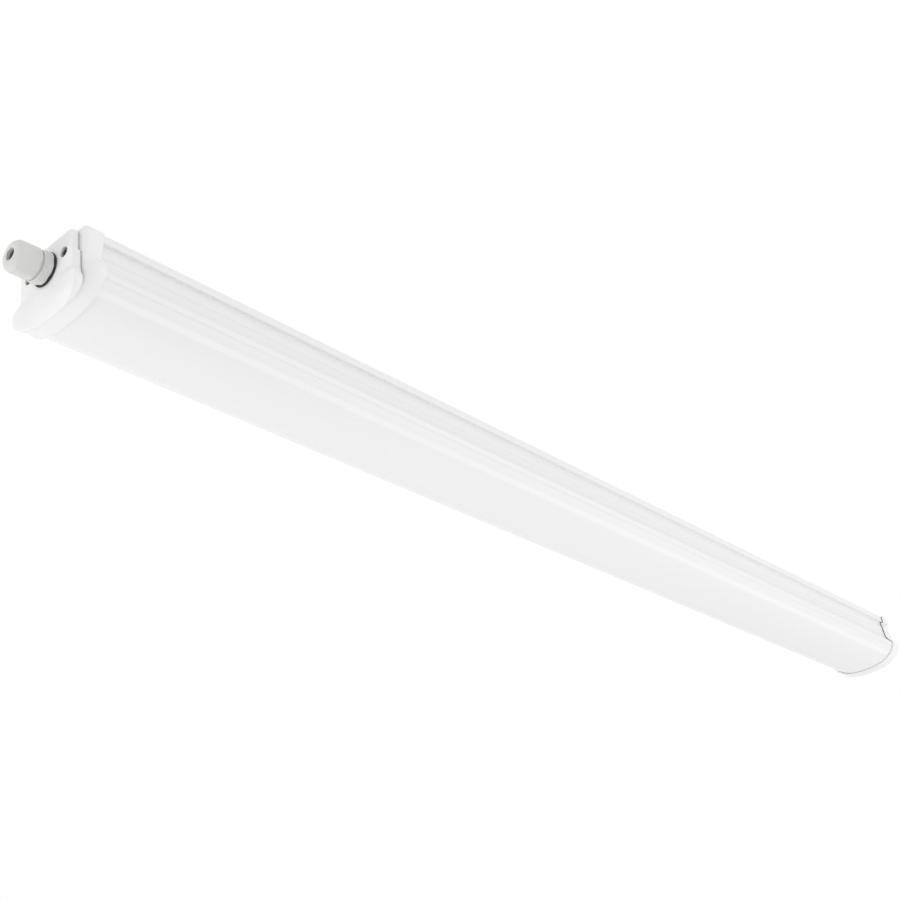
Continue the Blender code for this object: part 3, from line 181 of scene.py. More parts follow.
class BattenEndSizes(bpy.types.PropertyGroup):
    collar_length: length("Collar length", 0.0148)
    collar_side: length("Collar side", 0.0016, "How far the collar stands out at the side")
    collar_drop: length("Collar drop", 0.003, "How far the collar stands out below, at its rim")
    nose_drop: length("Collar nose drop", 0.0009, "How far its front stands out below")
    nose_reach: length("Collar nose reach", 0.0014, "How far the front edge reaches to the cover")
    nose_narrow: length("Collar nose narrowing", 0.0022, "How far its front lies inside the side")
    nose_taper: length("Collar nose taper", 0.0072, "How far the front edge lies inside the crown")
    nose_round: length("Collar front edge rounding", 0.0006)
    collar_rake: length("Collar rake", 0.0044, "How far the rim leans to the gland below")
    bulkhead: length("Collar front wall thickness", 0.0033)
    gasket_gap: length("Gap between collar and cover", 0.0029)
    gasket_inset: length("Gasket inset", 0.0011, "How far the gasket lies inside the cover")
    cover_thickness: length("Cover thickness", 0.0045)
    swell: length("Swell", 0.0022, "How far the cover's front swells out beside the gland")
    swell_roll: length("Swell roll", 0.0036, "How far the cover's front rolls back below")
    swell_depth: length("Swell depth", 0.05, "Depth at which the cover's front starts to roll back")
    screw_pitch: length("Screw half pitch", 0.0209, "Distance of an end screw from the middle")
    screw_depth: length("Screw depth", 0.0172, "Distance of the end screws below the back")
    recess: length("Screw recess radius", 0.0042)
    recess_round: length("Screw recess rounding", 0.0004)
    cap_length: length("Blank cap length", 0.015)
    cap_side: length("Blank cap stand-out", 0.002)
    cap_round: length("Blank cap rounding", 0.002)
    cap_line: length("Cap seal line", 0.0009, "Thickness of the seal round the cap's rim")
    cap_sleeve: length("Cap sleeve", 0.007, "How far the cap sleeves over the body")


class BattenGlandSizes(bpy.types.PropertyGroup):
    depth: length("Gland depth", 0.02107, "Distance of the gland's axis below the back")
    thread: length("Rear thread radius", 0.01)
    bore: length("Gland body bore radius", 0.0075)
    washer: length("Washer radius", 0.0135)
    washer_thickness: length("Washer thickness", 0.0012)
    flats: length("Body hexagon across flats", 0.0241)
    hexagon: length("Body hexagon length", 0.007)
    neck: length("Neck radius", 0.0104, "Radius of the ring between hexagon and nut")
    neck_length: length("Neck length", 0.0021, "Length of the ring between hexagon and nut")
    spigot: length("Spigot length", 0.0095, "Length of the thread inside the cap nut")
    nut_length: length("Cap nut length", 0.0189)
    nut: length("Cap nut radius", 0.0125)
    nut_tail: length("Nut tail radius", 0.0125, "Radius of the cap nut at the neck")
    nut_flats: length("Cap nut across flats", 0.0236)
    mouth: length("Cap nut mouth radius", 0.0067)
    mouth_bore: length("Cable hole radius", 0.0048)
    lip: length("Cap nut mouth thickness", 0.0028)
    dome: share("Dome", 0.72, "Share of the nut's length that the dome takes")


class BattenFinishes(bpy.types.PropertyGroup):
    housing: paint("Housing", (0.845, 0.845, 0.843))
    moulding: paint("Mouldings", (0.865, 0.865, 0.863))
    diffuser: paint("Diffuser", (0.855, 0.855, 0.855))
    gland: paint("Gland", (0.675, 0.675, 0.660))
    # The gasket's grey is partly its own and partly painted shade of the gap between cover and
    # collar
    gasket: paint("Gland end gasket", (0.70, 0.70, 0.69))
    rubber: paint("Washer and seals", (0.018, 0.018, 0.018))
    # The end screws' colour is darker than the metal's own, as painted shade inside the screw
    # recesses
    end_screw: paint("End screws", (0.16, 0.16, 0.163))


class BattenStage(bpy.types.PropertyGroup):
    ambient: share("Ambient", 0.95, "Strength of the even studio light", 4.0)
    strip: share("Strip", 1.75, "Power of the long softbox under the light, in watts", 400.0)
    strip_near: share("Strip near", 1.5, "Strength of the long softbox towards the gland end", 4.0)
    strip_far: share("Strip far", 0.55, "Strength of the long softbox towards the blank end", 4.0)
    side: share("Side", 6.0, "Power of the softbox beside the blank end, in watts", 400.0)
    low: share("Low", 6.0, "Power of the softbox on the floor by the gland end, in watts", 400.0)
    floor_depth: length("Floor depth", 0.8, "Distance of the floor below the light's back")


def sizes():
    """The scene's sizes with the places that follow from them."""
    scene = bpy.context.scene
    body, ends, gland = scene.batten_body, scene.batten_ends, scene.batten_gland
    wall_top = body.lip_height + body.neck_height
    wall_end = wall_top + body.wall_height
    flare_end = wall_end + body.flare_height
    collar_front = -body.near_rim - ends.collar_length
    cover_back = collar_front - ends.gasket_gap
    cover_front = cover_back - ends.cover_thickness
    hex_back = cover_front - GAP - gland.washer_thickness - GAP
    hex_front = hex_back - gland.hexagon
    nut_back = hex_front - gland.neck_length
    lowest = flare_end - body.crown_lead + body.crown_drop
    return SimpleNamespace(
        body=body, ends=ends, gland=gland, wall_top=wall_top, wall_end=wall_end,
        flare_end=flare_end, middle=-gland.depth, centre=flare_end - body.crown_lead,
        seam_depth=flare_end + body.seam_drop, lowest=lowest, cover_foot=lowest + COVER_FOOT,
        collar_front=collar_front, body_start=collar_front + ends.bulkhead + GAP,
        cover_back=cover_back, cover_front=cover_front, cap_end=body.far_rim + ends.cap_length,
        cap_shoulder=body.far_rim + ends.cap_sleeve,
        body_end=body.far_rim + ends.cap_sleeve - CAP_CLEARANCE, hex_back=hex_back,
        hex_front=hex_front, nut_back=nut_back, nut_front=nut_back - gland.nut_length)


# Mesh helpers

def quarter(steps, first=0):
    """The angles of a quarter turn in equal steps."""
    return [math.pi / 2 * i / steps for i in range(first, steps + 1)]


def eased(value, start, end):
    """Runs smoothly from 0 at start to 1 at end."""
    along = min(max((value - start) / (end - start), 0), 1)
    return along * along * (3 - 2 * along)


def rolled(value, span):
    """Rises as a quarter circle from 0 to 1 over the span."""
    return math.sqrt(max(1 - (1 - min(value / span, 1)) ** 2, 0))


def through(points, steps):
    """A smooth line through all the points, with steps pieces between two of them."""
    padded = [points[0]] + list(points) + [points[-1]]
    line = []
    for p0, p1, p2, p3 in zip(padded, padded[1:], padded[2:], padded[3:]):
        for i in range(steps):
            t = i / steps
            line.append(tuple(
                0.5 * (2 * b + (c - a) * t + (2 * a - 5 * b + 4 * c - d) * t * t
                       + (3 * b - a - 3 * c + d) * t ** 3)
                for a, b, c, d in zip(p0, p1, p2, p3)))
    return line + [points[-1]]


def face_outwards(bm):
    bmesh.ops.recalc_face_normals(bm, faces=bm.faces)
    if bm.calc_volume(signed=True) < 0:
        bmesh.ops.reverse_faces(bm, faces=bm.faces)


def weld(bm):
    bmesh.ops.remove_doubles(bm, verts=bm.verts, dist=WELD)


def edited(mesh, change):
    bm = bmesh.new()
    bm.from_mesh(mesh)
    change(bm)
    bm.to_mesh(mesh)
    bm.free()


def mesh_object(name, bm, outwards=True):
    """A new object from a bmesh, with its faces turned outwards."""
    if outwards:
        face_outwards(bm)
    mesh = bpy.data.meshes.new(name)
    bm.to_mesh(mesh)
    bm.free()
    obj = bpy.data.objects.new(name, mesh)
    bpy.context.scene.collection.objects.link(obj)
    return obj


def baked(obj):
    """The evaluated mesh takes the place of the object's mesh and modifiers."""
    bpy.context.view_layer.update()
    graph = bpy.context.evaluated_depsgraph_get()
    mesh = bpy.data.meshes.new_from_object(obj.evaluated_get(graph))
    old = obj.data
    obj.modifiers.clear()
    obj.data = mesh
    if old.users == 0:
        bpy.data.meshes.remove(old)
    return obj


def combined(obj, others, operation, self_cross=True):
    """Cuts, joins or crosses an object with others, which are used up."""
    for other in others:
        step = obj.modifiers.new("combine", "BOOLEAN")
        step.operation = operation
        step.solver = "EXACT"
        step.use_self = self_cross
        step.object = other
        baked(obj)
        bpy.data.objects.remove(other)
        edited(obj.data, weld)
    return obj


def smooth(obj, angle):
    """Smooth shading that keeps flat faces flat."""
    obj.data.shade_smooth()
    obj.data.set_sharp_from_angle(angle=angle)
    step = obj.modifiers.new("weights", "WEIGHTED_NORMAL")
    step.weight = 100
    step.keep_sharp = True
    return baked(obj)


def dressed(obj, slot, replaces=(), body="light", finish_key=None, angle=SMOOTH_ANGLE):
    """Gives a piece its shading, its material (its slot's finish unless another is named) and body,
    and hides the nodes that it stands for.
    """
    smooth(obj, angle)
    material = outer_finish(finish_key or SLOT_FINISHES[slot])
    obj.data.materials.clear()
    obj.data.materials.append(material)
    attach(obj, body)
    if replaces:
        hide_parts(*replaces)
    return obj


def box(name, low, high):
    bm = bmesh.new()
    bmesh.ops.create_cube(bm, size=1)
    low, high = Vector(low), Vector(high)
    for vert in bm.verts:
        vert.co = Vector(vert.co[i] * (high[i] - low[i]) + (low[i] + high[i]) / 2
                         for i in range(3))
    return mesh_object(name, bm)


def rod(name, start, end, radius, sides=48):
    start, end = Vector(start), Vector(end)
    bm = bmesh.new()
    bmesh.ops.create_cone(bm, cap_ends=True, segments=sides, radius1=radius, radius2=radius,
                          depth=(end - start).length)
    turn = Vector((0, 0, 1)).rotation_difference(end - start).to_matrix().to_4x4()
    bmesh.ops.transform(bm, matrix=Matrix.Translation((start + end) / 2) @ turn, verts=bm.verts)
    return mesh_object(name, bm)


def turned(name, profile, centre, steps=96):
    """A body turned about a line along X, from (x, radius) points."""
    bm = bmesh.new()
    rings = []
    closed = all(radius > 0 for _, radius in profile)
    angles = [2 * math.pi * i / steps for i in range(steps)]
    for x, radius in profile:
        if radius <= 0:
            rings.append([bm.verts.new((x, 0, centre))])
            continue
        rings.append([bm.verts.new((x, radius * math.sin(a), centre + radius * math.cos(a)))
                      for a in angles])
    pairs = list(zip(rings, rings[1:]))
    if closed:
        pairs.append((rings[-1], rings[0]))
    for first, second in pairs:
        for i in range(steps):
            j = (i + 1) % steps
            corners = (first[i % len(first)], first[j % len(first)], second[j % len(second)],
                       second[i % len(second)])
            face = list(dict.fromkeys(corners))
            if len(face) > 2:
                bm.faces.new(face)
    return mesh_object(name, bm)


def loft(name, rings):
    """A closed body through rings of points that have the same count."""
    bm = bmesh.new()
    loops = [[bm.verts.new(point) for point in ring] for ring in rings]
    count = len(rings[0])
    for first, second in zip(loops, loops[1:]):
        for i in range(count):
            j = (i + 1) % count
            bm.faces.new((first[i], first[j], second[j], second[i]))
    bm.faces.new(loops[0])
    bm.faces.new(loops[-1])
    weld(bm)
    bmesh.ops.dissolve_degenerate(bm, edges=bm.edges, dist=WELD)
    return mesh_object(name, bm)


def bar(name, outline, x0, x1):
    """A bar along X with a closed (y, z) outline."""
    return loft(name, [[(x, y, z) for y, z in outline] for x in (x0, x1)])


def hexagon(name, x0, x1, flats, centre):
    bm = bmesh.new()
    corner = flats / math.sqrt(3)
    bmesh.ops.create_cone(bm, cap_ends=True, segments=6, radius1=corner, radius2=corner,
                          depth=x1 - x0)
    for vert in bm.verts:
        x, y, z = vert.co
        vert.co = Vector((z + (x0 + x1) / 2, x, y + centre))
    return mesh_object(name, bm)


# Outlines of the body's section, as (y, z) points

def filleted(points, radius, steps=4, corners=None):
    """A closed outline with its sharp corners, or the corners named by their places, rounded."""
    result = []
    count = len(points)
    for i, here in enumerate(points):
        here = Vector(here)
        before, after = Vector(points[i - 1]) - here, Vector(points[(i + 1) % count]) - here
        if min(before.length, after.length) < MERGE:
            continue
        turn = math.pi - before.angle(after)
        if turn < SHARP_CORNER if corners is None else i not in corners:
            result.append(tuple(here))
            continue
        reach = min(radius * math.tan(turn / 2), before.length * 0.45, after.length * 0.45)
        start, end = here + before.normalized() * reach, here + after.normalized() * reach
        for k in range(steps + 1):
            t = k / steps
            result.append(tuple(start * (1 - t) ** 2 + here * 2 * t * (1 - t) + end * t ** 2))
    return result


def crown(start_depth, half, drop, power, steps, centre):
    """The rounded underside from a depth to its lowest point, as half of a superellipse."""
    share_down = max(start_depth - centre, 0) / drop
    first = math.asin(min(share_down ** (power / 2), 1))
    points = []
    for i in range(steps + 1):
        angle = first + (math.pi / 2 - first) * i / steps
        points.append((half * max(math.cos(angle), 0) ** (2 / power),
                       -(centre + drop * math.sin(angle) ** (2 / power))))
    points[-1] = (0, -(centre + drop))
    return points


def crown_half_at(depth, offset=0):
    s = sizes()
    power = s.body.crown_power
    down = (depth - s.centre) / (s.body.crown_drop + offset)
    return (s.body.crown_half + offset) * (1 - down ** power) ** (1 / power)


def crown_span(start_depth, end_depth, offset, steps):
    depths = [start_depth + (end_depth - start_depth) * i / steps for i in range(steps + 1)]
    return [(crown_half_at(depth, offset), -depth) for depth in depths]


def side_points(side, top=0):
    """The right side of the section from the back to the crown: lip, channel, wall and flare."""
    s = sizes()
    b = s.body
    points = [(b.lip_half + side - b.lip_chamfer, top), (b.lip_half + side, top - b.lip_chamfer),
              (b.lip_half + side, -b.lip_height - side), (b.neck_half + side, -b.lip_height - side),
              (b.neck_half + side, -s.wall_top + side), (b.wall_half + side, -s.wall_top + side)]
    share_above = 1 - FOOT_BLEND / b.wall_height
    start = Vector((b.wall_half + (b.foot_half - b.wall_half) * share_above + side,
                    -s.wall_end + FOOT_BLEND))
    corner = Vector((b.foot_half + side, -s.wall_end))
    end = corner.lerp(Vector((b.crown_half * 0.985 + side, -s.flare_end)), 0.75)
    points += [tuple(start * (1 - k) ** 2 + corner * 2 * k * (1 - k) + end * k * k)
               for k in (i / (FOOT_POINTS - 1) for i in range(FOOT_POINTS))]
    return points


def mirrored(right):
    return right + [(-y, z) for y, z in reversed(right) if y > 0]


def body_outline(side, drop, top=0):
    """The body's whole section, grown by side and drop."""
    s = sizes()
    under = crown(s.flare_end, s.body.crown_half + drop, s.body.crown_drop + drop,
                  s.body.crown_power, 40, s.centre)
    return mirrored(side_points(side, top) + under)


def body_cutter(name, x0, x1):
    """A bar that leaves the body a little space where a piece sleeves over it."""
    outline = filleted(body_outline(GAP / 2, GAP / 2, top=OVERRUN), sizes().body.edge_round)
    return bar(name, outline, x0, x1)


def half_at(points, depth):
    """The half-width of an outline at a depth."""
    for (y0, z0), (y1, z1) in zip(points, points[1:]):
        if z0 > -depth >= z1:
            return y0 + (y1 - y0) * (z0 + depth) / (z0 - z1)
    return points[-1][0]


def inset(points, distance):
    """An open outline moved to its inner side."""
    normals = []
    for (y0, z0), (y1, z1) in zip(points, points[1:]):
        size = math.hypot(y1 - y0, z1 - z0)
        normals.append(((z1 - z0) / size, (y0 - y1) / size))
    moved = []
    for i, (y, z) in enumerate(points):
        before = normals[max(i - 1, 0)]
        after = normals[min(i, len(normals) - 1)]
        scale = distance / (1 + before[0] * after[0] + before[1] * after[1])
        moved.append((y + (before[0] + after[0]) * scale, z + (before[1] + after[1]) * scale))
    return moved


def housing_outline():
    """The opaque extrusion: lip, channel, grooved wall and the start of the crown."""
    s = sizes()
    b = s.body
    side = side_points(0)
    inner = inset([(0, 0)] + side + [(crown_half_at(s.flare_end), -s.flare_end)], b.wall)[:-1]
    inner += crown_span(s.flare_end + b.wall, s.seam_depth, -b.wall, 6)
    top, end = s.wall_top + b.groove_drop, s.wall_top + b.groove_drop + b.groove_height
    outer = side[:-FOOT_POINTS]
    outer += [(half_at(side, top), -top), (half_at(side, top) - b.groove_depth, -(top + end) / 2),
              (half_at(side, end), -end)] + side[-FOOT_POINTS:]
    outer += crown_span(s.flare_end, s.seam_depth, 0, 8)
    left = [(-y, z) for y, z in reversed(outer)]
    left_inner = [(-y, z) for y, z in inner[1:]]
    return filleted(left + outer + inner[:0:-1] + left_inner, b.edge_round)


def shrunk(s, ring, share_left):
    """A ring drawn in about the gland's axis."""
    return [(y * share_left, s.middle + (z - s.middle) * share_left) for _, y, z in ring]


# Node helpers

FLOAT, VECTOR, COLOUR = "NodeSocketFloat", "NodeSocketVector", "NodeSocketColor"
GEOMETRY, MATERIAL = "NodeSocketGeometry", "NodeSocketMaterial"


class Bench:
    """Adds nodes to one tree and wires them."""

    def __init__(self, tree):
        self.tree = tree

    def add(self, kind, inputs=None, **settings):
        node = self.tree.nodes.new(kind)
        for key, value in settings.items():
            setattr(node, key, value)
        for key, value in (inputs or {}).items():
            self.feed(node.inputs[key], value)
        return node

    def out(self, kind, inputs=None, **settings):
        """The first output of a new node."""
        return self.add(kind, inputs, **settings).outputs[0]

    def feed(self, socket, value):
        if isinstance(value, bpy.types.NodeSocket):
            self.tree.links.new(value, socket)
        else:
            socket.default_value = value

    def maths(self, operation, *values):
        return self.out("ShaderNodeMath", dict(enumerate(values)), operation=operation)

    def mix(self, factor, first, second):
        node = self.add("ShaderNodeMix", data_type="RGBA")
        self.feed(node.inputs[0], factor)
        self.feed(node.inputs[6], first)
        self.feed(node.inputs[7], second)
        return node.outputs[2]


def new_tree(name, kind, inputs, outputs):
    """A node group with named sockets; each is (name, socket type, default)."""
    tree = bpy.data.node_groups.new(name, kind)
    for label, socket, default in inputs:
        made = tree.interface.new_socket(name=label, in_out="INPUT", socket_type=socket)
        if default is not None:
            made.default_value = default
    for label, socket in outputs:
        tree.interface.new_socket(name=label, in_out="OUTPUT", socket_type=socket)
    bench = Bench(tree)
    start = bench.add("NodeGroupInput")
    end = bench.add("NodeGroupOutput")
    return bench, start, end


def finished_tree(bench, geometry, material, end):
    """Ends a geometry tree with real geometry in its material."""
    real = bench.out("GeometryNodeRealizeInstances", {0: geometry})
    bench.feed(end.inputs[0], bench.out("GeometryNodeSetMaterial", {"Geometry": real,
                                                                    "Material": material}))
    return bench.tree


def grown(obj, tree, values):
    """Runs a geometry tree on an object with its named inputs set, and keeps the plain mesh."""
    step = obj.modifiers.new("grow", "NODES")
    step.node_group = tree
    for item in tree.interface.items_tree:
        if item.item_type == "SOCKET" and item.in_out == "INPUT" and item.name in values:
            step[item.identifier] = values[item.name]
    return baked(obj)


# Surface effects shared by several finishes

def grain_group():
    """Fine moulded grain: colour drift, roughness drift and a height."""
    found = bpy.data.node_groups.get("moulded grain")
    if found:
        return found
    bench, start, end = new_tree("moulded grain", "ShaderNodeTree", [
        ("Colour", COLOUR, (0.8, 0.8, 0.8, 1)), ("Colour Drift", FLOAT, 0.02),
        ("Drift Scale", FLOAT, 30.0), ("Grain Scale", FLOAT, 2500.0), ("Roughness", FLOAT, 0.4),
        ("Roughness Drift", FLOAT, 0.06), ("Stretch", VECTOR, (1, 1, 1))],
        [("Colour", COLOUR), ("Roughness", FLOAT), ("Height", FLOAT)])
    at = start.outputs
    place = bench.add("ShaderNodeTexCoord")
    spread = bench.out("ShaderNodeMapping", {"Vector": place.outputs["Object"],
                                             "Scale": at["Stretch"]})
    drift, fine = [bench.out("ShaderNodeTexNoise", {
        "Vector": spread, "Scale": at[scale], "Detail": detail, "Roughness": roughness})
        for scale, detail, roughness in (("Drift Scale", 4.0, 0.55), ("Grain Scale", 3.0, 0.6))]
    swing = bench.maths("SUBTRACT", drift, 0.5)
    bright = bench.maths("ADD", bench.maths("MULTIPLY", swing, at["Colour Drift"]), 1.0)
    tint = bench.out("ShaderNodeHueSaturation", {"Value": bright, "Color": at["Colour"]})
    rough = bench.maths("MULTIPLY_ADD", swing, at["Roughness Drift"], at["Roughness"])
    for name, value in (("Colour", tint), ("Roughness", rough), ("Height", fine)):
        bench.feed(end.inputs[name], value)
    return bench.tree


def finish(name, colour, roughness, drift, drift_scale, grain_scale, bump, stretch=(1, 1, 1),
           roughness_drift=0.06, metallic=0.0, ior=1.46):
    """A moulded or extruded plastic, rubber or metal finish."""
    material = bpy.data.materials.get(name)
    if material:
        return material
    material = bpy.data.materials.new(name)
    material.use_nodes = True
    bench = Bench(material.node_tree)
    shader = material.node_tree.nodes["Principled BSDF"]
    group = bench.add("ShaderNodeGroup", node_tree=grain_group())
    for key, value in (("Colour", (*colour, 1)), ("Colour Drift", drift),
                       ("Drift Scale", drift_scale), ("Grain Scale", grain_scale),
                       ("Roughness", roughness), ("Roughness Drift", roughness_drift),
                       ("Stretch", stretch)):
        group.inputs[key].default_value = value
    lift = bench.add("ShaderNodeBump", {"Strength": bump, "Distance": GRAIN_DEPTH,
                                        "Height": group.outputs["Height"]})
    bench.feed(shader.inputs["Base Color"], group.outputs["Colour"])
    bench.feed(shader.inputs["Roughness"], group.outputs["Roughness"])
    bench.feed(shader.inputs["Normal"], lift.outputs[0])
    shader.inputs["Metallic"].default_value = metallic
    shader.inputs["IOR"].default_value = ior
    return material


# The outer finishes: name, roughness, colour drift and its scale, grain scale and its bump
OUTER_FINISHES = {
    "housing": (("extruded white", 0.38, 0.012, 60, 900, 0.04), {"stretch": (0.02, 1, 1)}),
    "moulding": (("moulded white", 0.42, 0.012, 40, 2600, 0.08), {}),
    "diffuser": (("opal diffuser", 0.06, 0.008, 30, 300, 0.01),
                 {"stretch": (0.03, 1, 1), "roughness_drift": 0.02, "ior": 1.49}),
    "gland": (("gland nylon", 0.46, 0.03, 140, 3200, 0.1), {}),
    # Gasket: silicone whose grey is partly painted shade of the gap it sits in
    "gasket": (("grey silicone", 0.7, 0.05, 200, 3000, 0.15), {}),
    "rubber": (("black rubber", 0.72, 0.25, 300, 4000, 0.2), {}),
    # The end screws' metal is darkened past its own tone, as painted shade in the recesses
    "end_screw": (("dark zinc plate", 0.42, 0.12, 500, 6000, 0.06),
                  {"roughness_drift": 0.2, "metallic": 1.0}),
}
# The outer finish that a slot takes unless a piece names another
SLOT_FINISHES = {"housing_white": "moulding", "diffuser_opal": "diffuser", "gland_grey": "gland",
                 "seal_black": "rubber", "gasket_white": "gasket"}


def outer_finish(key):
    """One of the outer finishes, in the colour set in the panel."""
    (name, *grain), others = OUTER_FINISHES[key]
    colour = tuple(getattr(bpy.context.scene.batten_finishes, key))
    return finish(name, colour, *grain, **others)


# Body

def diffuser_tree():
    """The shell of the rounded underside, from the formula of its section."""
    bench, start, end = new_tree("diffuser shell", "GeometryNodeTree", [
        ("Geometry", GEOMETRY, None), ("Half Width", FLOAT, 0.04), ("Drop", FLOAT, 0.03),
        ("Power", FLOAT, 2.5), ("Centre Depth", FLOAT, 0.03), ("Seam Depth", FLOAT, 0.04),
        ("Wall", FLOAT, 0.002), ("Start", FLOAT, -0.6), ("End", FLOAT, 0.6),
        ("Steps", "NodeSocketInt", 60), ("Material", MATERIAL, None)], [("Geometry", GEOMETRY)])
    maths = bench.maths
    at = start.outputs
    steps = at["Steps"]
    count = maths("MULTIPLY", maths("ADD", steps, 1), 2)
    line = bench.out("GeometryNodeMeshLine", {"Count": count})
    index = bench.out("GeometryNodeInputIndex")

    # The points run along the outer face, then back along the inner one
    inside = maths("GREATER_THAN", index, maths("ADD", steps, 0.5))
    back = maths("SUBTRACT", maths("SUBTRACT", count, 1), index)
    along = maths("ADD", maths("MULTIPLY", index, maths("SUBTRACT", 1, inside)),
                  maths("MULTIPLY", back, inside))
    wall = maths("MULTIPLY", at["Wall"], inside)
    half = maths("SUBTRACT", at["Half Width"], wall)
    drop = maths("SUBTRACT", at["Drop"], wall)

    # From the angle at the seam to the same angle on the other side
    down = maths("DIVIDE", maths("SUBTRACT", at["Seam Depth"], at["Centre Depth"]), drop)
    first = maths("ARCSINE", maths("POWER", down, maths("DIVIDE", at["Power"], 2)))
    sweep = maths("SUBTRACT", math.pi, maths("MULTIPLY", first, 2))
    angle = maths("ADD", first, maths("MULTIPLY", sweep, maths("DIVIDE", along, steps)))
    bend = maths("DIVIDE", 2, at["Power"])
    cosine = maths("COSINE", angle)
    reach = maths("POWER", maths("ABSOLUTE", cosine), bend)
    y = maths("MULTIPLY", maths("MULTIPLY", half, reach), maths("SIGN", cosine))
    rise = maths("MULTIPLY", drop, maths("POWER", maths("SINE", angle), bend))
    z = maths("MULTIPLY", maths("ADD", at["Centre Depth"], rise), -1)
    spot = bench.out("ShaderNodeCombineXYZ", {0: y, 1: z, 2: 0.0})
    shaped = bench.out("GeometryNodeSetPosition", {"Geometry": line, "Position": spot})

    # The closed section is filled, pulled to the length and laid along X
    curve = bench.out("GeometryNodeMeshToCurve", {"Mesh": shaped})
    closed = bench.out("GeometryNodeSetSplineCyclic", {"Geometry": curve, "Cyclic": True})
    face = bench.out("GeometryNodeFillCurve", {"Curve": closed}, mode="NGONS")
    run = maths("SUBTRACT", at["End"], at["Start"])
    offset = bench.out("ShaderNodeCombineXYZ", {0: 0.0, 1: 0.0, 2: run})
    pulled = bench.out("GeometryNodeExtrudeMesh", {
        "Mesh": face, "Offset": offset, "Offset Scale": 1.0, "Individual": False}, mode="FACES")
    base = bench.out("GeometryNodeFlipFaces", {"Mesh": face})
    whole = bench.add("GeometryNodeJoinGeometry")
    for shell in (pulled, base):
        bench.feed(whole.inputs[0], shell)
    welded = bench.out("GeometryNodeMergeByDistance", {"Geometry": whole.outputs[0],
                                                       "Distance": MERGE})
    parts = bench.add("ShaderNodeSeparateXYZ", {0: bench.out("GeometryNodeInputPosition")}).outputs
    place = bench.out("ShaderNodeCombineXYZ", {0: maths("ADD", parts[2], at["Start"]),
                                               1: parts[0], 2: parts[1]})
    laid = bench.out("GeometryNodeSetPosition", {"Geometry": welded, "Position": place})
    return finished_tree(bench, laid, at["Material"], end)


class BATTEN_OT_housing(bpy.types.Operator):
    """Extruded white housing"""
    bl_idname = "batten.housing"
    bl_label = "Housing"

    def execute(self, context):
        s = sizes()
        shell = bar("housing_extrusion", housing_outline(), s.body_start, s.body_end)
        dressed(shell, "housing_white", ["housing"], finish_key="housing", angle=EXTRUSION_ANGLE)
        return {"FINISHED"}


class BATTEN_OT_diffuser(bpy.types.Operator):
    """Opal diffuser along the underside"""
    bl_idname = "batten.diffuser"
    bl_label = "Diffuser"

    def execute(self, context):
        s = sizes()
        bm = bmesh.new()
        bm.verts.new((0, 0, 0))
        shell = mesh_object("diffuser_shell", bm, outwards=False)
        grown(shell, diffuser_tree(), {
            "Half Width": s.body.crown_half, "Drop": s.body.crown_drop,
            "Power": s.body.crown_power, "Centre Depth": s.centre,
            "Seam Depth": s.seam_depth + s.body.seam, "Wall": DIFFUSER_WALL,
            "Start": s.body_start, "End": s.body_end, "Steps": 96,
            "Material": outer_finish("diffuser")})
        if not shell.data.polygons:
            raise RuntimeError("the diffuser came out empty")
        dressed(shell, "diffuser_opal", ["diffuser"])
        return {"FINISHED"}


# Gland end

def end_rods(s, x0, x1, radius):
    """Two rods along X on the lines of an end's screws."""
    return [rod("cutter", (x0, y, -s.ends.screw_depth), (x1, y, -s.ends.screw_depth), radius)
            for y in (-s.ends.screw_pitch, s.ends.screw_pitch)]


def gland_rod(s, x0, x1, radius, sides=48):
    return rod("cutter", (x0, 0, s.middle), (x1, 0, s.middle), radius, sides)


def collar_outline(s, lip, foot, half, drop, top=0.0):
    """The collar's section: a flat top, a wall that swells into the crown, and the crown."""
    power, first, last = s.body.crown_power, *COLLAR_WALL

    def wide(depth):
        wall = lip + (foot - lip) * depth / s.wall_end
        blend = eased(depth, *COLLAR_BLEND)
        down = max(depth - s.centre, 0) / drop
        return wall * (1 - blend) + half * (1 - down ** power) ** (1 / power) * blend

    right = [(lip - COLLAR_CHAMFER * (1 - math.sin(a)), -top - COLLAR_CHAMFER * (1 - math.cos(a)))
             for a in quarter(5)]
    right += [(wide(depth), -depth) for depth in (first + (last - first) * i / 26
                                                  for i in range(27))]
    return mirrored(right + crown(COLLAR_CROWN, half, drop, power, 34, s.centre))


def collar_rings(s):
    """Outer rings of the collar, from the soft front edge to the rounded, raked rim."""
    e, b = s.ends, s.body
    lip, foot = b.lip_half + e.collar_side, b.foot_half + e.collar_side
    half = b.crown_half + e.collar_drop
    front, rim = s.collar_front - e.nose_reach, -b.near_rim
    meeting = e.gasket_gap - e.nose_reach - COVER_SPACE
    rings = []

    def closing(z):
        return meeting * eased(-z, *COLLAR_CLOSING)

    for t in COLLAR_RINGS:
        narrow = e.nose_narrow * (1 - rolled(t, NARROW_SPAN))
        taper = e.nose_taper * (1 - rolled(t, TAPER_SPAN))
        back = e.nose_round * (1 - rolled(t, ROUND_SPAN))
        drop = b.crown_drop + e.nose_drop + (e.collar_drop - e.nose_drop) * t - back
        x = front + (rim - front) * t
        outline = collar_outline(s, lip - narrow - back, foot - narrow - back,
                                 half - taper - back, drop, top=back * 0.6)
        rings.append([(x + e.collar_rake * t * z / s.lowest - closing(z) * (1 - t), y, z)
                      for y, z in outline])
    for a in quarter(4, 1):
        back = END_ROUND * (1 - math.cos(a))
        outline = collar_outline(s, lip - back, foot - back, half - back,
                                 b.crown_drop + e.collar_drop - back)
        x = rim - END_ROUND * (1 - math.sin(a))
        rings.append([(x + e.collar_rake * z / s.lowest, y, z) for y, z in outline])
    face = [[(front - closing(z), y, z) for y, z in shrunk(s, rings[0], share_left)]
            for share_left in COLLAR_FACE]
    return face + rings


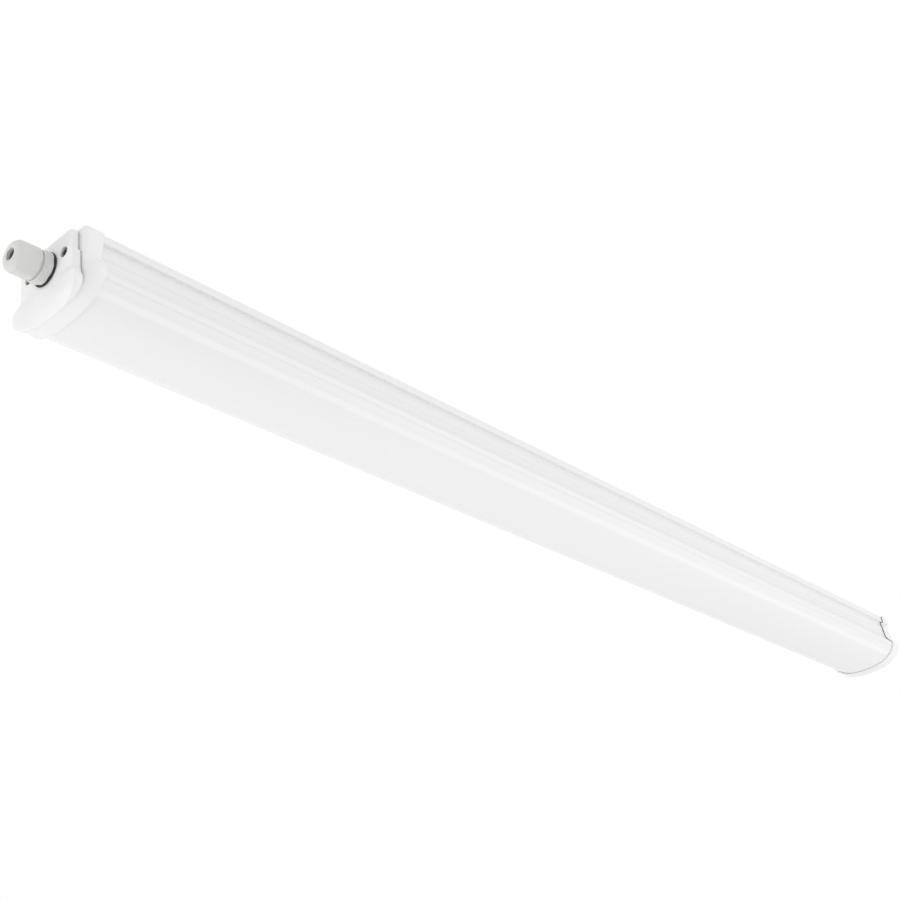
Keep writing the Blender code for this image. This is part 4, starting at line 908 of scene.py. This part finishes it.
class BATTEN_OT_gland_end_collar(bpy.types.Operator):
    """Moulded collar round the body at the gland end"""
    bl_idname = "batten.gland_end_collar"
    bl_label = "Gland end collar"

    def execute(self, context):
        s = sizes()
        collar = loft("collar_moulding", collar_rings(s))
        inner = s.collar_front + s.ends.bulkhead
        combined(collar, [body_cutter("sleeve", inner, -s.body.near_rim + OVERRUN)], "DIFFERENCE")
        boss_end = inner + COLLAR_BOSS_LENGTH
        bosses = end_rods(s, s.collar_front + s.ends.bulkhead / 2, boss_end, BOSS)
        combined(collar, bosses, "UNION")
        start = s.collar_front - 2 * OVERRUN
        opening = gland_rod(s, start, -s.body.near_rim, NUT_OPENING)
        bores = end_rods(s, start, boss_end - SEAT, SCREW_BORE)
        pocket = bar("pocket", gasket_outline(s, GAP), s.cover_back - OVERRUN, s.collar_front)
        combined(collar, [opening] + bores + [pocket], "DIFFERENCE")
        dressed(collar, "housing_white", ["gland_end_collar"])
        return {"FINISHED"}


# The full lower part of the cover: half-width and distance above the cover's lowest line
COVER_SWELL = ((0.0356, 0.0191), (0.0369, 0.0161), (0.0374, 0.0131), (0.0371, 0.0106),
               (0.0360, 0.0081), (0.0340, 0.0058), (0.0311, 0.0037), (0.0268, 0.0021),
               (0.0205, 0.0010), (0.0110, 0.0003), (0, 0))


def cover_outline(s, share_out, shrink=0.0):
    """The right half of the cover's outline, from its back at share 0 to its front at share 1."""
    block = BLOCK_BACK - BLOCK_TAPER * share_out - shrink
    shoulder = SHOULDER + (block + shrink - SHOULDER) * share_out - shrink
    top = -COVER_TOP - shrink
    right = [(block - COVER_CORNER * (1 - math.sin(a)), top - COVER_CORNER * (1 - math.cos(a)))
             for a in quarter(8)]
    right += [(block, -BLOCK_FOOT), (shoulder, -SHOULDER_TOP), (shoulder, -SHOULDER_FOOT)]
    right += [(max(y - shrink, 0), z + shrink - s.cover_foot) for y, z in through(COVER_SWELL, 4)]
    return right


def cover_front_lift(s, y, z):
    """How far the cover's front swells out beside the gland and rolls back below it."""
    e = s.ends
    swell = e.swell * eased(-z, *SWELL_DEPTHS) * eased(abs(y), *SWELL_HALVES)
    low = max((-z - e.swell_depth) / (s.cover_foot - e.swell_depth), 0)
    return swell - e.swell_roll * low ** 2


def cover_rings(s):
    """The cover's rings from its back to its front edge, then inwards over its front."""
    rings = []
    for t in COVER_RINGS:
        edge = COVER_FRONT_EDGE * (1 - rolled(1 - t, 1 - FRONT_EDGE_START))
        edge += COVER_BACK_EDGE * (1 - min(t / BACK_EDGE_END, 1)) ** 2
        outline = mirrored(cover_outline(s, t, edge))
        # The block's foot, the shoulder and the first point of the swell
        corners = [9, 10, 11, 12]
        corners += [len(outline) - 1 - i for i in corners]
        outline = filleted(outline, COVER_STEP_ROUND, corners=corners)
        rings.append([(s.cover_back - (s.ends.cover_thickness + cover_front_lift(s, y, z)) * t,
                       y, z) for y, z in outline])
    if len({len(ring) for ring in rings}) > 1:
        raise RuntimeError("the cover's rings differ in their count of points")
    edge = rings[-1]
    for share_left in COVER_FACE:
        rings.append([(s.cover_front - cover_front_lift(s, y, z), y, z)
                      for y, z in shrunk(s, edge, share_left)])
    return rings


def gasket_outline(s, grow=0.0):
    """The gasket's outline, inside the cover's."""
    inside = s.ends.gasket_inset - grow
    right = [(min(y, GASKET_HALF) - inside, z - inside if z > -COVER_CORNER else z)
             for y, z in cover_outline(s, 0) if z > -GASKET_WALL]
    right += [(right[-1][0], inside - GASKET_END), (0, inside - GASKET_END)]
    return filleted(mirrored(right), GASKET_ROUND, 3)


class BATTEN_OT_gland_end_cover(bpy.types.Operator):
    """Moulded end cover with its screw recesses, and the gasket behind it"""
    bl_idname = "batten.gland_end_cover"
    bl_label = "Gland end cover"

    def execute(self, context):
        s = sizes()
        e = s.ends
        cover = loft("cover_moulding", cover_rings(s))
        start, beyond = s.cover_front - OVERRUN, s.collar_front + OVERRUN
        boss_end = s.collar_front - GAP
        combined(cover, end_rods(s, s.cover_back - e.cover_thickness / 2, boss_end, BOSS), "UNION")
        hole = gland_rod(s, start, s.collar_front, s.gland.thread + GAP)
        combined(cover, [hole] + end_rods(s, start, boss_end - SEAT, e.recess)
                 + end_rods(s, s.cover_back, beyond, SCREW_BORE), "DIFFERENCE")
        mouths = end_rods(s, start, s.cover_front + e.recess_round, e.recess + e.recess_round)
        for mouth in mouths:
            for vert in mouth.data.vertices:
                if vert.co.x > s.cover_front:
                    side = math.copysign(e.screw_pitch, vert.co.y)
                    centre = Vector((vert.co.x, side, -e.screw_depth))
                    vert.co = centre + (vert.co - centre).normalized() * e.recess
        combined(cover, mouths, "DIFFERENCE")
        dressed(cover, "housing_white", ["gland_end_cover"])
        sheet = bar("cover_gasket", gasket_outline(s), s.cover_back + GAP / 3,
                    s.collar_front - GAP / 3)
        holes = end_rods(s, s.cover_front, beyond, BOSS_HOLE)
        holes.append(gland_rod(s, s.cover_front, beyond, NUT_OPENING))
        combined(sheet, holes, "DIFFERENCE")
        dressed(sheet, "gasket_white", ["gland_end_gasket"])
        return {"FINISHED"}


# Blank end

def cap_ring(s, x, back):
    side = s.ends.cap_side - back
    return [(x, y, z) for y, z in filleted(body_outline(side, side), CAP_CORNER)]


class BATTEN_OT_blank_end(bpy.types.Operator):
    """Cap over the blank end, and a black seal round its rim that also paints in the shade of the
    gap there
    """
    bl_idname = "batten.blank_end"
    bl_label = "Blank end cap"

    def execute(self, context):
        s = sizes()
        e, rim = s.ends, s.body.far_rim
        rings = [cap_ring(s, rim + END_ROUND * (1 - math.cos(a)), END_ROUND * (1 - math.sin(a)))
                 for a in quarter(4)]
        rings += [cap_ring(s, s.cap_end - e.cap_round * (1 - math.sin(a)),
                           e.cap_round * (1 - math.cos(a))) for a in quarter(8)]
        cap = loft("blank_cap_moulding", rings)
        line, under = e.cap_line, e.cap_line * SEAL_UNDER
        sleeve = bar("sleeve", body_outline(line, under, top=OVERRUN), rim - OVERRUN,
                     s.cap_shoulder)
        hollow = bar("hollow", body_outline(-CAP_WALL, -CAP_WALL, top=-CAP_WALL),
                     s.cap_shoulder - OVERRUN, s.cap_end - CAP_FRONT)
        combined(cap, [sleeve, hollow], "DIFFERENCE")
        boss_end = s.cap_end - CAP_BOSS_LENGTH
        combined(cap, end_rods(s, boss_end, s.cap_end - CAP_FRONT / 2, BOSS), "UNION")
        combined(cap, end_rods(s, boss_end + SEAT, s.cap_end + OVERRUN, e.recess)
                 + end_rods(s, boss_end - OVERRUN, s.cap_end, SCREW_BORE), "DIFFERENCE")
        dressed(cap, "housing_white", ["blank_end_cap"])
        # The black ring round the cap's rim is a seal, and its black also stands in as painted
        # shade for the gap at the rim
        outline = body_outline(line - SEAL_SPACE, under - SEAL_SPACE, top=-SEAL_BACK)
        seal = bar("blank_cap_seal", outline, rim + SEAL_FRONT, s.body_end - SEAL_BACK)
        combined(seal, [body_cutter("middle", rim - OVERRUN, s.cap_shoulder)], "DIFFERENCE")
        dressed(seal, "seal_black")
        return {"FINISHED"}


# Cable gland

def arc(centre_x, centre_r, radius, start, end, steps):
    """Points of a rounded corner in a turned profile, in degrees from +X."""
    angles = [math.radians(start + (end - start) * i / steps) for i in range(steps + 1)]
    return [(centre_x + radius * math.cos(a), centre_r + radius * math.sin(a)) for a in angles]


class BATTEN_OT_gland(bpy.types.Operator):
    """Washer, body, back nut, dome nut and seal of the cable gland"""
    bl_idname = "batten.gland"
    bl_label = "Cable gland"

    def execute(self, context):
        s = sizes()
        for piece in (self.washer, self.hexagon_body, self.back_nut, self.dome_nut, self.seal):
            piece(s, s.gland)
        return {"FINISHED"}

    def washer(self, s, g):
        back = s.cover_front - GAP / 3
        front = back - g.washer_thickness - GAP
        r = (back - front) / 2
        profile = arc(front + r, g.washer - r, r, 90, 180, 5)[::-1]
        profile += arc(back - r, g.washer - r, r, 90, 0, 5)
        profile += [(back, g.thread + GAP), (front, g.thread + GAP)]
        ring = turned("gland_washer_ring", profile, s.middle)
        dressed(ring, "seal_black", ["gland_washer"])

    def hexagon_body(self, s, g):
        front = s.nut_back - g.spigot
        neck = s.nut_back + GAP / 3
        thread_end = s.cover_back + THREAD_PAST_COVER
        corner = g.thread + HEXAGON_CORNER
        outer = [(front, g.bore), (front, SPIGOT_TIP), (front + SPIGOT - SPIGOT_TIP, SPIGOT),
                 (neck, SPIGOT), (neck, g.neck), (s.hex_front, g.neck),
                 (s.hex_front, corner - HEXAGON_ROUND)]
        outer += [(s.hex_front + HEXAGON_ROUND * math.sin(a),
                   corner - HEXAGON_ROUND * math.cos(a) * 0.9) for a in quarter(5, 1)]
        outer += [(s.hex_back - HEXAGON_EDGE, corner), (s.hex_back, corner - HEXAGON_EDGE),
                  (s.hex_back, g.thread), (thread_end, g.thread), (thread_end, g.bore)]
        body = turned("gland_hexagon", outer, s.middle)
        flats = hexagon("flats", s.hex_front - FLATS_PAST, s.hex_back + FLATS_PAST, g.flats,
                        s.middle)
        stem = gland_rod(s, front - OVERRUN, thread_end + OVERRUN, g.neck + GAP)
        combined(flats, [stem], "UNION")
        combined(body, [flats], "INTERSECT", False)
        dressed(body, "gland_grey", ["gland_body"], angle=GLAND_ANGLE)

    def back_nut(self, s, g):
        nut = hexagon("gland_back_nut", s.cover_back + GAP, s.cover_back + BACK_NUT_LENGTH,
                      BACK_NUT_FLATS, s.middle)
        bore = gland_rod(s, s.cover_back, s.cover_back + BACK_NUT_LENGTH + OVERRUN,
                         g.thread + GAP, 64)
        combined(nut, [bore], "DIFFERENCE", False)
        dressed(nut, "gland_grey", ["gland_locknut"])

    def dome_nut(self, s, g):
        front, back = s.nut_front, s.nut_back
        reach = back - g.nut_length * g.dome - front
        profile = [(front + MOUTH_ROUND, g.mouth_bore)]
        profile += [(front + MOUTH_ROUND - MOUTH_ROUND * math.sin(a),
                     g.mouth_bore + MOUTH_ROUND * (1 - math.cos(a))) for a in quarter(4, 1)]
        profile += [(front + reach * (1 - math.sin(a)), g.mouth + (g.nut - g.mouth) * math.cos(a))
                    for a in reversed(quarter(16))]
        profile += [(back - before, g.nut_tail + out) for before, out in NUT_TAIL_EDGE]
        profile += [(back, NUT_THREAD), (back - g.spigot - GAP, NUT_THREAD),
                    (front + 2 * g.lip, NUT_THROAT), (front + g.lip, g.mouth_bore)]
        nut = turned("gland_dome_nut", profile, s.middle)
        flats = hexagon("flats", front - OVERRUN, back + OVERRUN, g.nut_flats, s.middle)
        combined(nut, [flats], "INTERSECT", False)
        dressed(nut, "gland_grey", ["gland_cap_nut"], "cap_nut", angle=GLAND_ANGLE)

    def seal(self, s, g):
        front = s.nut_front + 2 * g.lip + GAP
        taper, back = s.nut_back - g.spigot - GAP, front + SEAL_LENGTH
        profile = [(front, SEAL_BORE), (front, SEAL_TIP), (taper, SEAL_RADIUS),
                   (back, SEAL_RADIUS), (back, SEAL_BORE)]
        insert = turned("gland_seal_insert", profile, s.middle, 64)
        dressed(insert, "seal_black", ["gland_seal"])


# Screws

def screw_tree():
    """Places a screw at every point, with its head along the point's direction."""
    bench, start, end = new_tree("screws on points", "GeometryNodeTree", [
        ("Geometry", GEOMETRY, None), ("Screw", "NodeSocketObject", None), ("Size", FLOAT, 1.0),
        ("Material", MATERIAL, None)], [("Geometry", GEOMETRY)])
    at = start.outputs
    shape = bench.add("GeometryNodeObjectInfo", {"Object": at["Screw"]})
    heading = bench.out("GeometryNodeInputNamedAttribute", {"Name": "heading"},
                        data_type="FLOAT_VECTOR")
    turn = bench.out("FunctionNodeAlignRotationToVector", {"Vector": heading}, axis="Z")
    placed = bench.out("GeometryNodeInstanceOnPoints", {
        "Points": at["Geometry"], "Instance": shape.outputs["Geometry"], "Rotation": turn,
        "Scale": at["Size"]})
    return finished_tree(bench, placed, at["Material"], end)


def screw_master(name, reach):
    """A cheese-head screw with a cross recess, its seat at the origin and its head along +Z."""
    dome = [(HEAD_HEIGHT * (0.8 + 0.2 * math.cos(a)), HEAD * math.sin(a)) for a in quarter(8)]
    dome[0] = (HEAD_HEIGHT, 0)
    profile = dome + [(0, HEAD), (0, SHANK), (SHANK * 1.2 - reach, SHANK),
                      (-reach, SHANK * 0.25), (-reach, 0)]
    screw = turned(name, profile, 0, 40)
    for vert in screw.data.vertices:
        x, y, z = vert.co
        vert.co = (y, z, x)
    long_half, short_half = CROSS_REACH * HEAD, CROSS_WIDTH * HEAD
    for x, y in ((long_half, short_half), (short_half, long_half)):
        cross = box("cross", (-x, -y, HEAD_HEIGHT * 0.7), (x, y, HEAD_HEIGHT * 2))
        combined(screw, [cross], "DIFFERENCE", False)
    edited(screw.data, face_outwards)
    return screw


def screws(name, master, places, nodes):
    """One piece of screws at (point, heading) places."""
    mesh = bpy.data.meshes.new(name)
    mesh.from_pydata([point for point, _ in places], [], [])
    heading = mesh.attributes.new("heading", "FLOAT_VECTOR", "POINT")
    for value, (_, way) in zip(heading.data, places):
        value.vector = way
    piece = bpy.data.objects.new(name, mesh)
    bpy.context.scene.collection.objects.link(piece)
    grown(piece, bpy.data.node_groups.get("screws on points") or screw_tree(),
          {"Screw": master, "Size": 1.0, "Material": outer_finish("end_screw")})
    if not piece.data.polygons:
        raise RuntimeError("no screws were placed for " + name)
    dressed(piece, "screw_steel", nodes, finish_key="end_screw")


class BATTEN_OT_end_screws(bpy.types.Operator):
    """Cross-head screws in the recesses of both ends"""
    bl_idname = "batten.end_screws"
    bl_label = "End screws"

    def execute(self, context):
        s = sizes()
        near = s.collar_front - GAP - SEAT - GAP
        far = s.cap_end - CAP_BOSS_LENGTH + SEAT + GAP
        for name, x, way, reach, nodes in (
                ("gland_end_screws", near, -1, SCREW_REACH,
                 ["gland_end_screw_front", "gland_end_screw_rear"]),
                ("blank_end_screws", far, 1, LONG_SCREW_REACH,
                 ["blank_end_screw_front", "blank_end_screw_rear"])):
            master = screw_master("end_screw", reach)
            screws(name, master, [((x, y, -s.ends.screw_depth), (way, 0, 0))
                                  for y in (-s.ends.screw_pitch, s.ends.screw_pitch)], nodes)
            bpy.data.objects.remove(master)
        return {"FINISHED"}


# Finishes of the inner pieces, which stay as the frame has them: colour, roughness, metallic

INNER_FINISHES = {
    "tray_steel": ((0.66, 0.67, 0.68), 0.42, 1.0),
    "board_white": ((0.83, 0.84, 0.82), 0.45, 0.0),
    "board_green": ((0.04, 0.22, 0.09), 0.45, 0.0),
    "driver_grey": ((0.74, 0.75, 0.76), 0.5, 0.0),
    "terminal_white": ((0.78, 0.78, 0.74), 0.5, 0.0),
    "button_orange": ((0.78, 0.27, 0.04), 0.45, 0.0),
    "lead_brown": ((0.19, 0.08, 0.035), 0.5, 0.0),
    "lead_blue": ((0.035, 0.14, 0.48), 0.5, 0.0),
    "lead_green": ((0.19, 0.43, 0.05), 0.5, 0.0),
    "lead_red": ((0.53, 0.025, 0.025), 0.5, 0.0),
    "lead_black": ((0.028, 0.028, 0.028), 0.5, 0.0),
    "screw_steel": ((0.60, 0.60, 0.61), 0.32, 1.0),
}


class BATTEN_OT_inner_finishes(bpy.types.Operator):
    """Finishes of the pieces as the frame has them: tray, boards, driver, terminal and leads"""
    bl_idname = "batten.inner_finishes"
    bl_label = "Inner finishes"

    def execute(self, context):
        for part in frame["record"]["subparts"]:
            node = frame["nodes"][part["node"]]
            slot = part["material_slot"]
            if slot in SLOT_FINISHES:
                material = outer_finish(SLOT_FINISHES[slot])
            else:
                colour, roughness, metallic = INNER_FINISHES[slot]
                material = finish(slot.replace("_", " "), colour, roughness, 0.06, 90, 2000, 0.1,
                                  metallic=metallic)
            node.data.materials.clear()
            node.data.materials.append(material)
        return {"FINISHED"}


# Stage

def soft_box(name, place, aim, width, height, power):
    light = bpy.data.lights.new(name, "AREA")
    light.shape = "RECTANGLE"
    light.size = width
    light.size_y = height
    light.energy = power
    obj = bpy.data.objects.new(name, light)
    obj.location = place
    obj.rotation_euler = (Vector(aim) - Vector(place)).to_track_quat("-Z", "Y").to_euler()
    obj.visible_camera = False
    bpy.context.scene.collection.objects.link(obj)
    return obj


def fade(light, first, last):
    """The lamp's strength runs from first to last along its length."""
    light.use_nodes = True
    bench = Bench(light.node_tree)
    place = bench.add("ShaderNodeNewGeometry")
    along = bench.add("ShaderNodeSeparateXYZ", {0: place.outputs["Parametric"]})
    strength = bench.maths("MULTIPLY_ADD", along.outputs[0], last - first, first)
    bench.feed(light.node_tree.nodes["Emission"].inputs["Strength"], strength)


def floor_material():
    material = bpy.data.materials.new("studio floor")
    material.use_nodes = True
    bench = Bench(material.node_tree)
    nodes = material.node_tree.nodes
    shader = nodes["Principled BSDF"]
    place = bench.add("ShaderNodeTexCoord")
    noise = bench.out("ShaderNodeTexNoise", {"Vector": place.outputs["Object"], "Scale": 3.0})
    tone = bench.mix(noise, (0.86, 0.86, 0.86, 1), (0.88, 0.88, 0.88, 1))
    bench.feed(shader.inputs["Base Color"], tone)
    shader.inputs["Roughness"].default_value = 0.9
    clear = bench.out("ShaderNodeBsdfTransparent")
    side = bench.add("ShaderNodeNewGeometry")
    path = bench.add("ShaderNodeLightPath")
    unseen = bench.maths("MULTIPLY", side.outputs["Backfacing"], path.outputs["Is Camera Ray"])
    blend = bench.out("ShaderNodeMixShader", {0: unseen, 1: shader.outputs[0], 2: clear})
    bench.feed(nodes["Material Output"].inputs[0], blend)
    return material


class BATTEN_OT_stage(bpy.types.Operator):
    """Pale floor, even studio light, strip softbox and the photograph's camera"""
    bl_idname = "batten.stage"
    bl_label = "Stage"

    def execute(self, context):
        scene = context.scene
        stage = scene.batten_stage
        depth = stage.floor_depth
        bm = bmesh.new()
        bmesh.ops.create_grid(bm, x_segments=1, y_segments=1, size=14)
        for vert in bm.verts:
            vert.co.z = -depth
        floor = mesh_object("studio_floor", bm, outwards=False)
        floor.data.materials.append(floor_material())

        strip = soft_box("strip_softbox", (0.85, -0.42, -0.72), (0.85, -0.034, -0.05), 2.5, 0.3,
                         stage.strip)
        fade(strip.data, stage.strip_near, stage.strip_far)
        soft_box("side_softbox", (1.5, -2.5, 0.3), (0.4, 0, -0.03), 2.0, 1.2, stage.side)
        soft_box("low_softbox", (-1.3, 0.8, -0.74), (-0.6, 0, -0.04), 0.9, 0.6, stage.low)

        world = bpy.data.worlds.new("studio")
        scene.world = world
        world.use_nodes = True
        bench = Bench(world.node_tree)
        back = world.node_tree.nodes["Background"]
        path = bench.add("ShaderNodeLightPath")
        seen = bench.maths("MAXIMUM", path.outputs["Is Camera Ray"],
                           path.outputs["Is Transmission Ray"])
        strength = bench.maths("ADD", bench.maths("MULTIPLY", seen, 1 - stage.ambient),
                               stage.ambient)
        back.inputs[0].default_value = (1, 1, 1, 1)
        bench.feed(back.inputs[1], strength)

        self.camera(scene)
        scene.view_settings.view_transform = "Standard"
        return {"FINISHED"}

    def camera(self, scene):
        yaw, pitch, roll = map(math.radians, (CAMERA_YAW, CAMERA_PITCH, CAMERA_ROLL))
        ahead = Vector((math.cos(yaw) * math.cos(pitch), math.sin(yaw) * math.cos(pitch),
                        math.sin(pitch)))
        right = Vector((math.sin(yaw), -math.cos(yaw), 0))
        up = right.cross(ahead)
        level = Matrix((right, up, -ahead)).transposed()
        data = bpy.data.cameras.new("camera")
        data.sensor_width = SENSOR_WIDTH
        data.lens = SENSOR_WIDTH * CAMERA_FOCAL / PICTURE_WIDTH
        data.clip_start = 0.01
        camera = bpy.data.objects.new("camera", data)
        camera.matrix_world = (Matrix.Translation(CAMERA_PLACE) @ level.to_4x4()
                               @ Matrix.Rotation(roll, 4, "Z"))
        scene.collection.objects.link(camera)
        scene.camera = camera


STEPS = (BATTEN_OT_housing, BATTEN_OT_diffuser, BATTEN_OT_gland_end_collar,
         BATTEN_OT_gland_end_cover, BATTEN_OT_blank_end, BATTEN_OT_gland, BATTEN_OT_end_screws,
         BATTEN_OT_inner_finishes, BATTEN_OT_stage)
GROUPS = {"batten_body": BattenBodySizes, "batten_ends": BattenEndSizes,
          "batten_gland": BattenGlandSizes, "batten_finishes": BattenFinishes,
          "batten_stage": BattenStage}


class BATTEN_PT_panel(bpy.types.Panel):
    """Steps and settings of the batten light"""
    bl_label = "Linear batten light"
    bl_space_type = "VIEW_3D"
    bl_region_type = "UI"
    bl_category = "Batten"

    def draw(self, context):
        for step in STEPS:
            self.layout.operator(step.bl_idname)
        for name, group in GROUPS.items():
            column = self.layout.column(align=True)
            for prop in group.__annotations__:
                column.prop(getattr(context.scene, name), prop)


def register():
    for cls in (*GROUPS.values(), *STEPS, BATTEN_PT_panel):
        bpy.utils.register_class(cls)
    for name, group in GROUPS.items():
        setattr(bpy.types.Scene, name, PointerProperty(type=group))


def unregister():
    for name in GROUPS:
        delattr(bpy.types.Scene, name)
    for cls in reversed((*GROUPS.values(), *STEPS, BATTEN_PT_panel)):
        bpy.utils.unregister_class(cls)


def main():
    register()
    for step in STEPS:
        area, name = step.bl_idname.split(".")
        getattr(getattr(bpy.ops, area), name)()


if __name__ == "__main__":
    main()
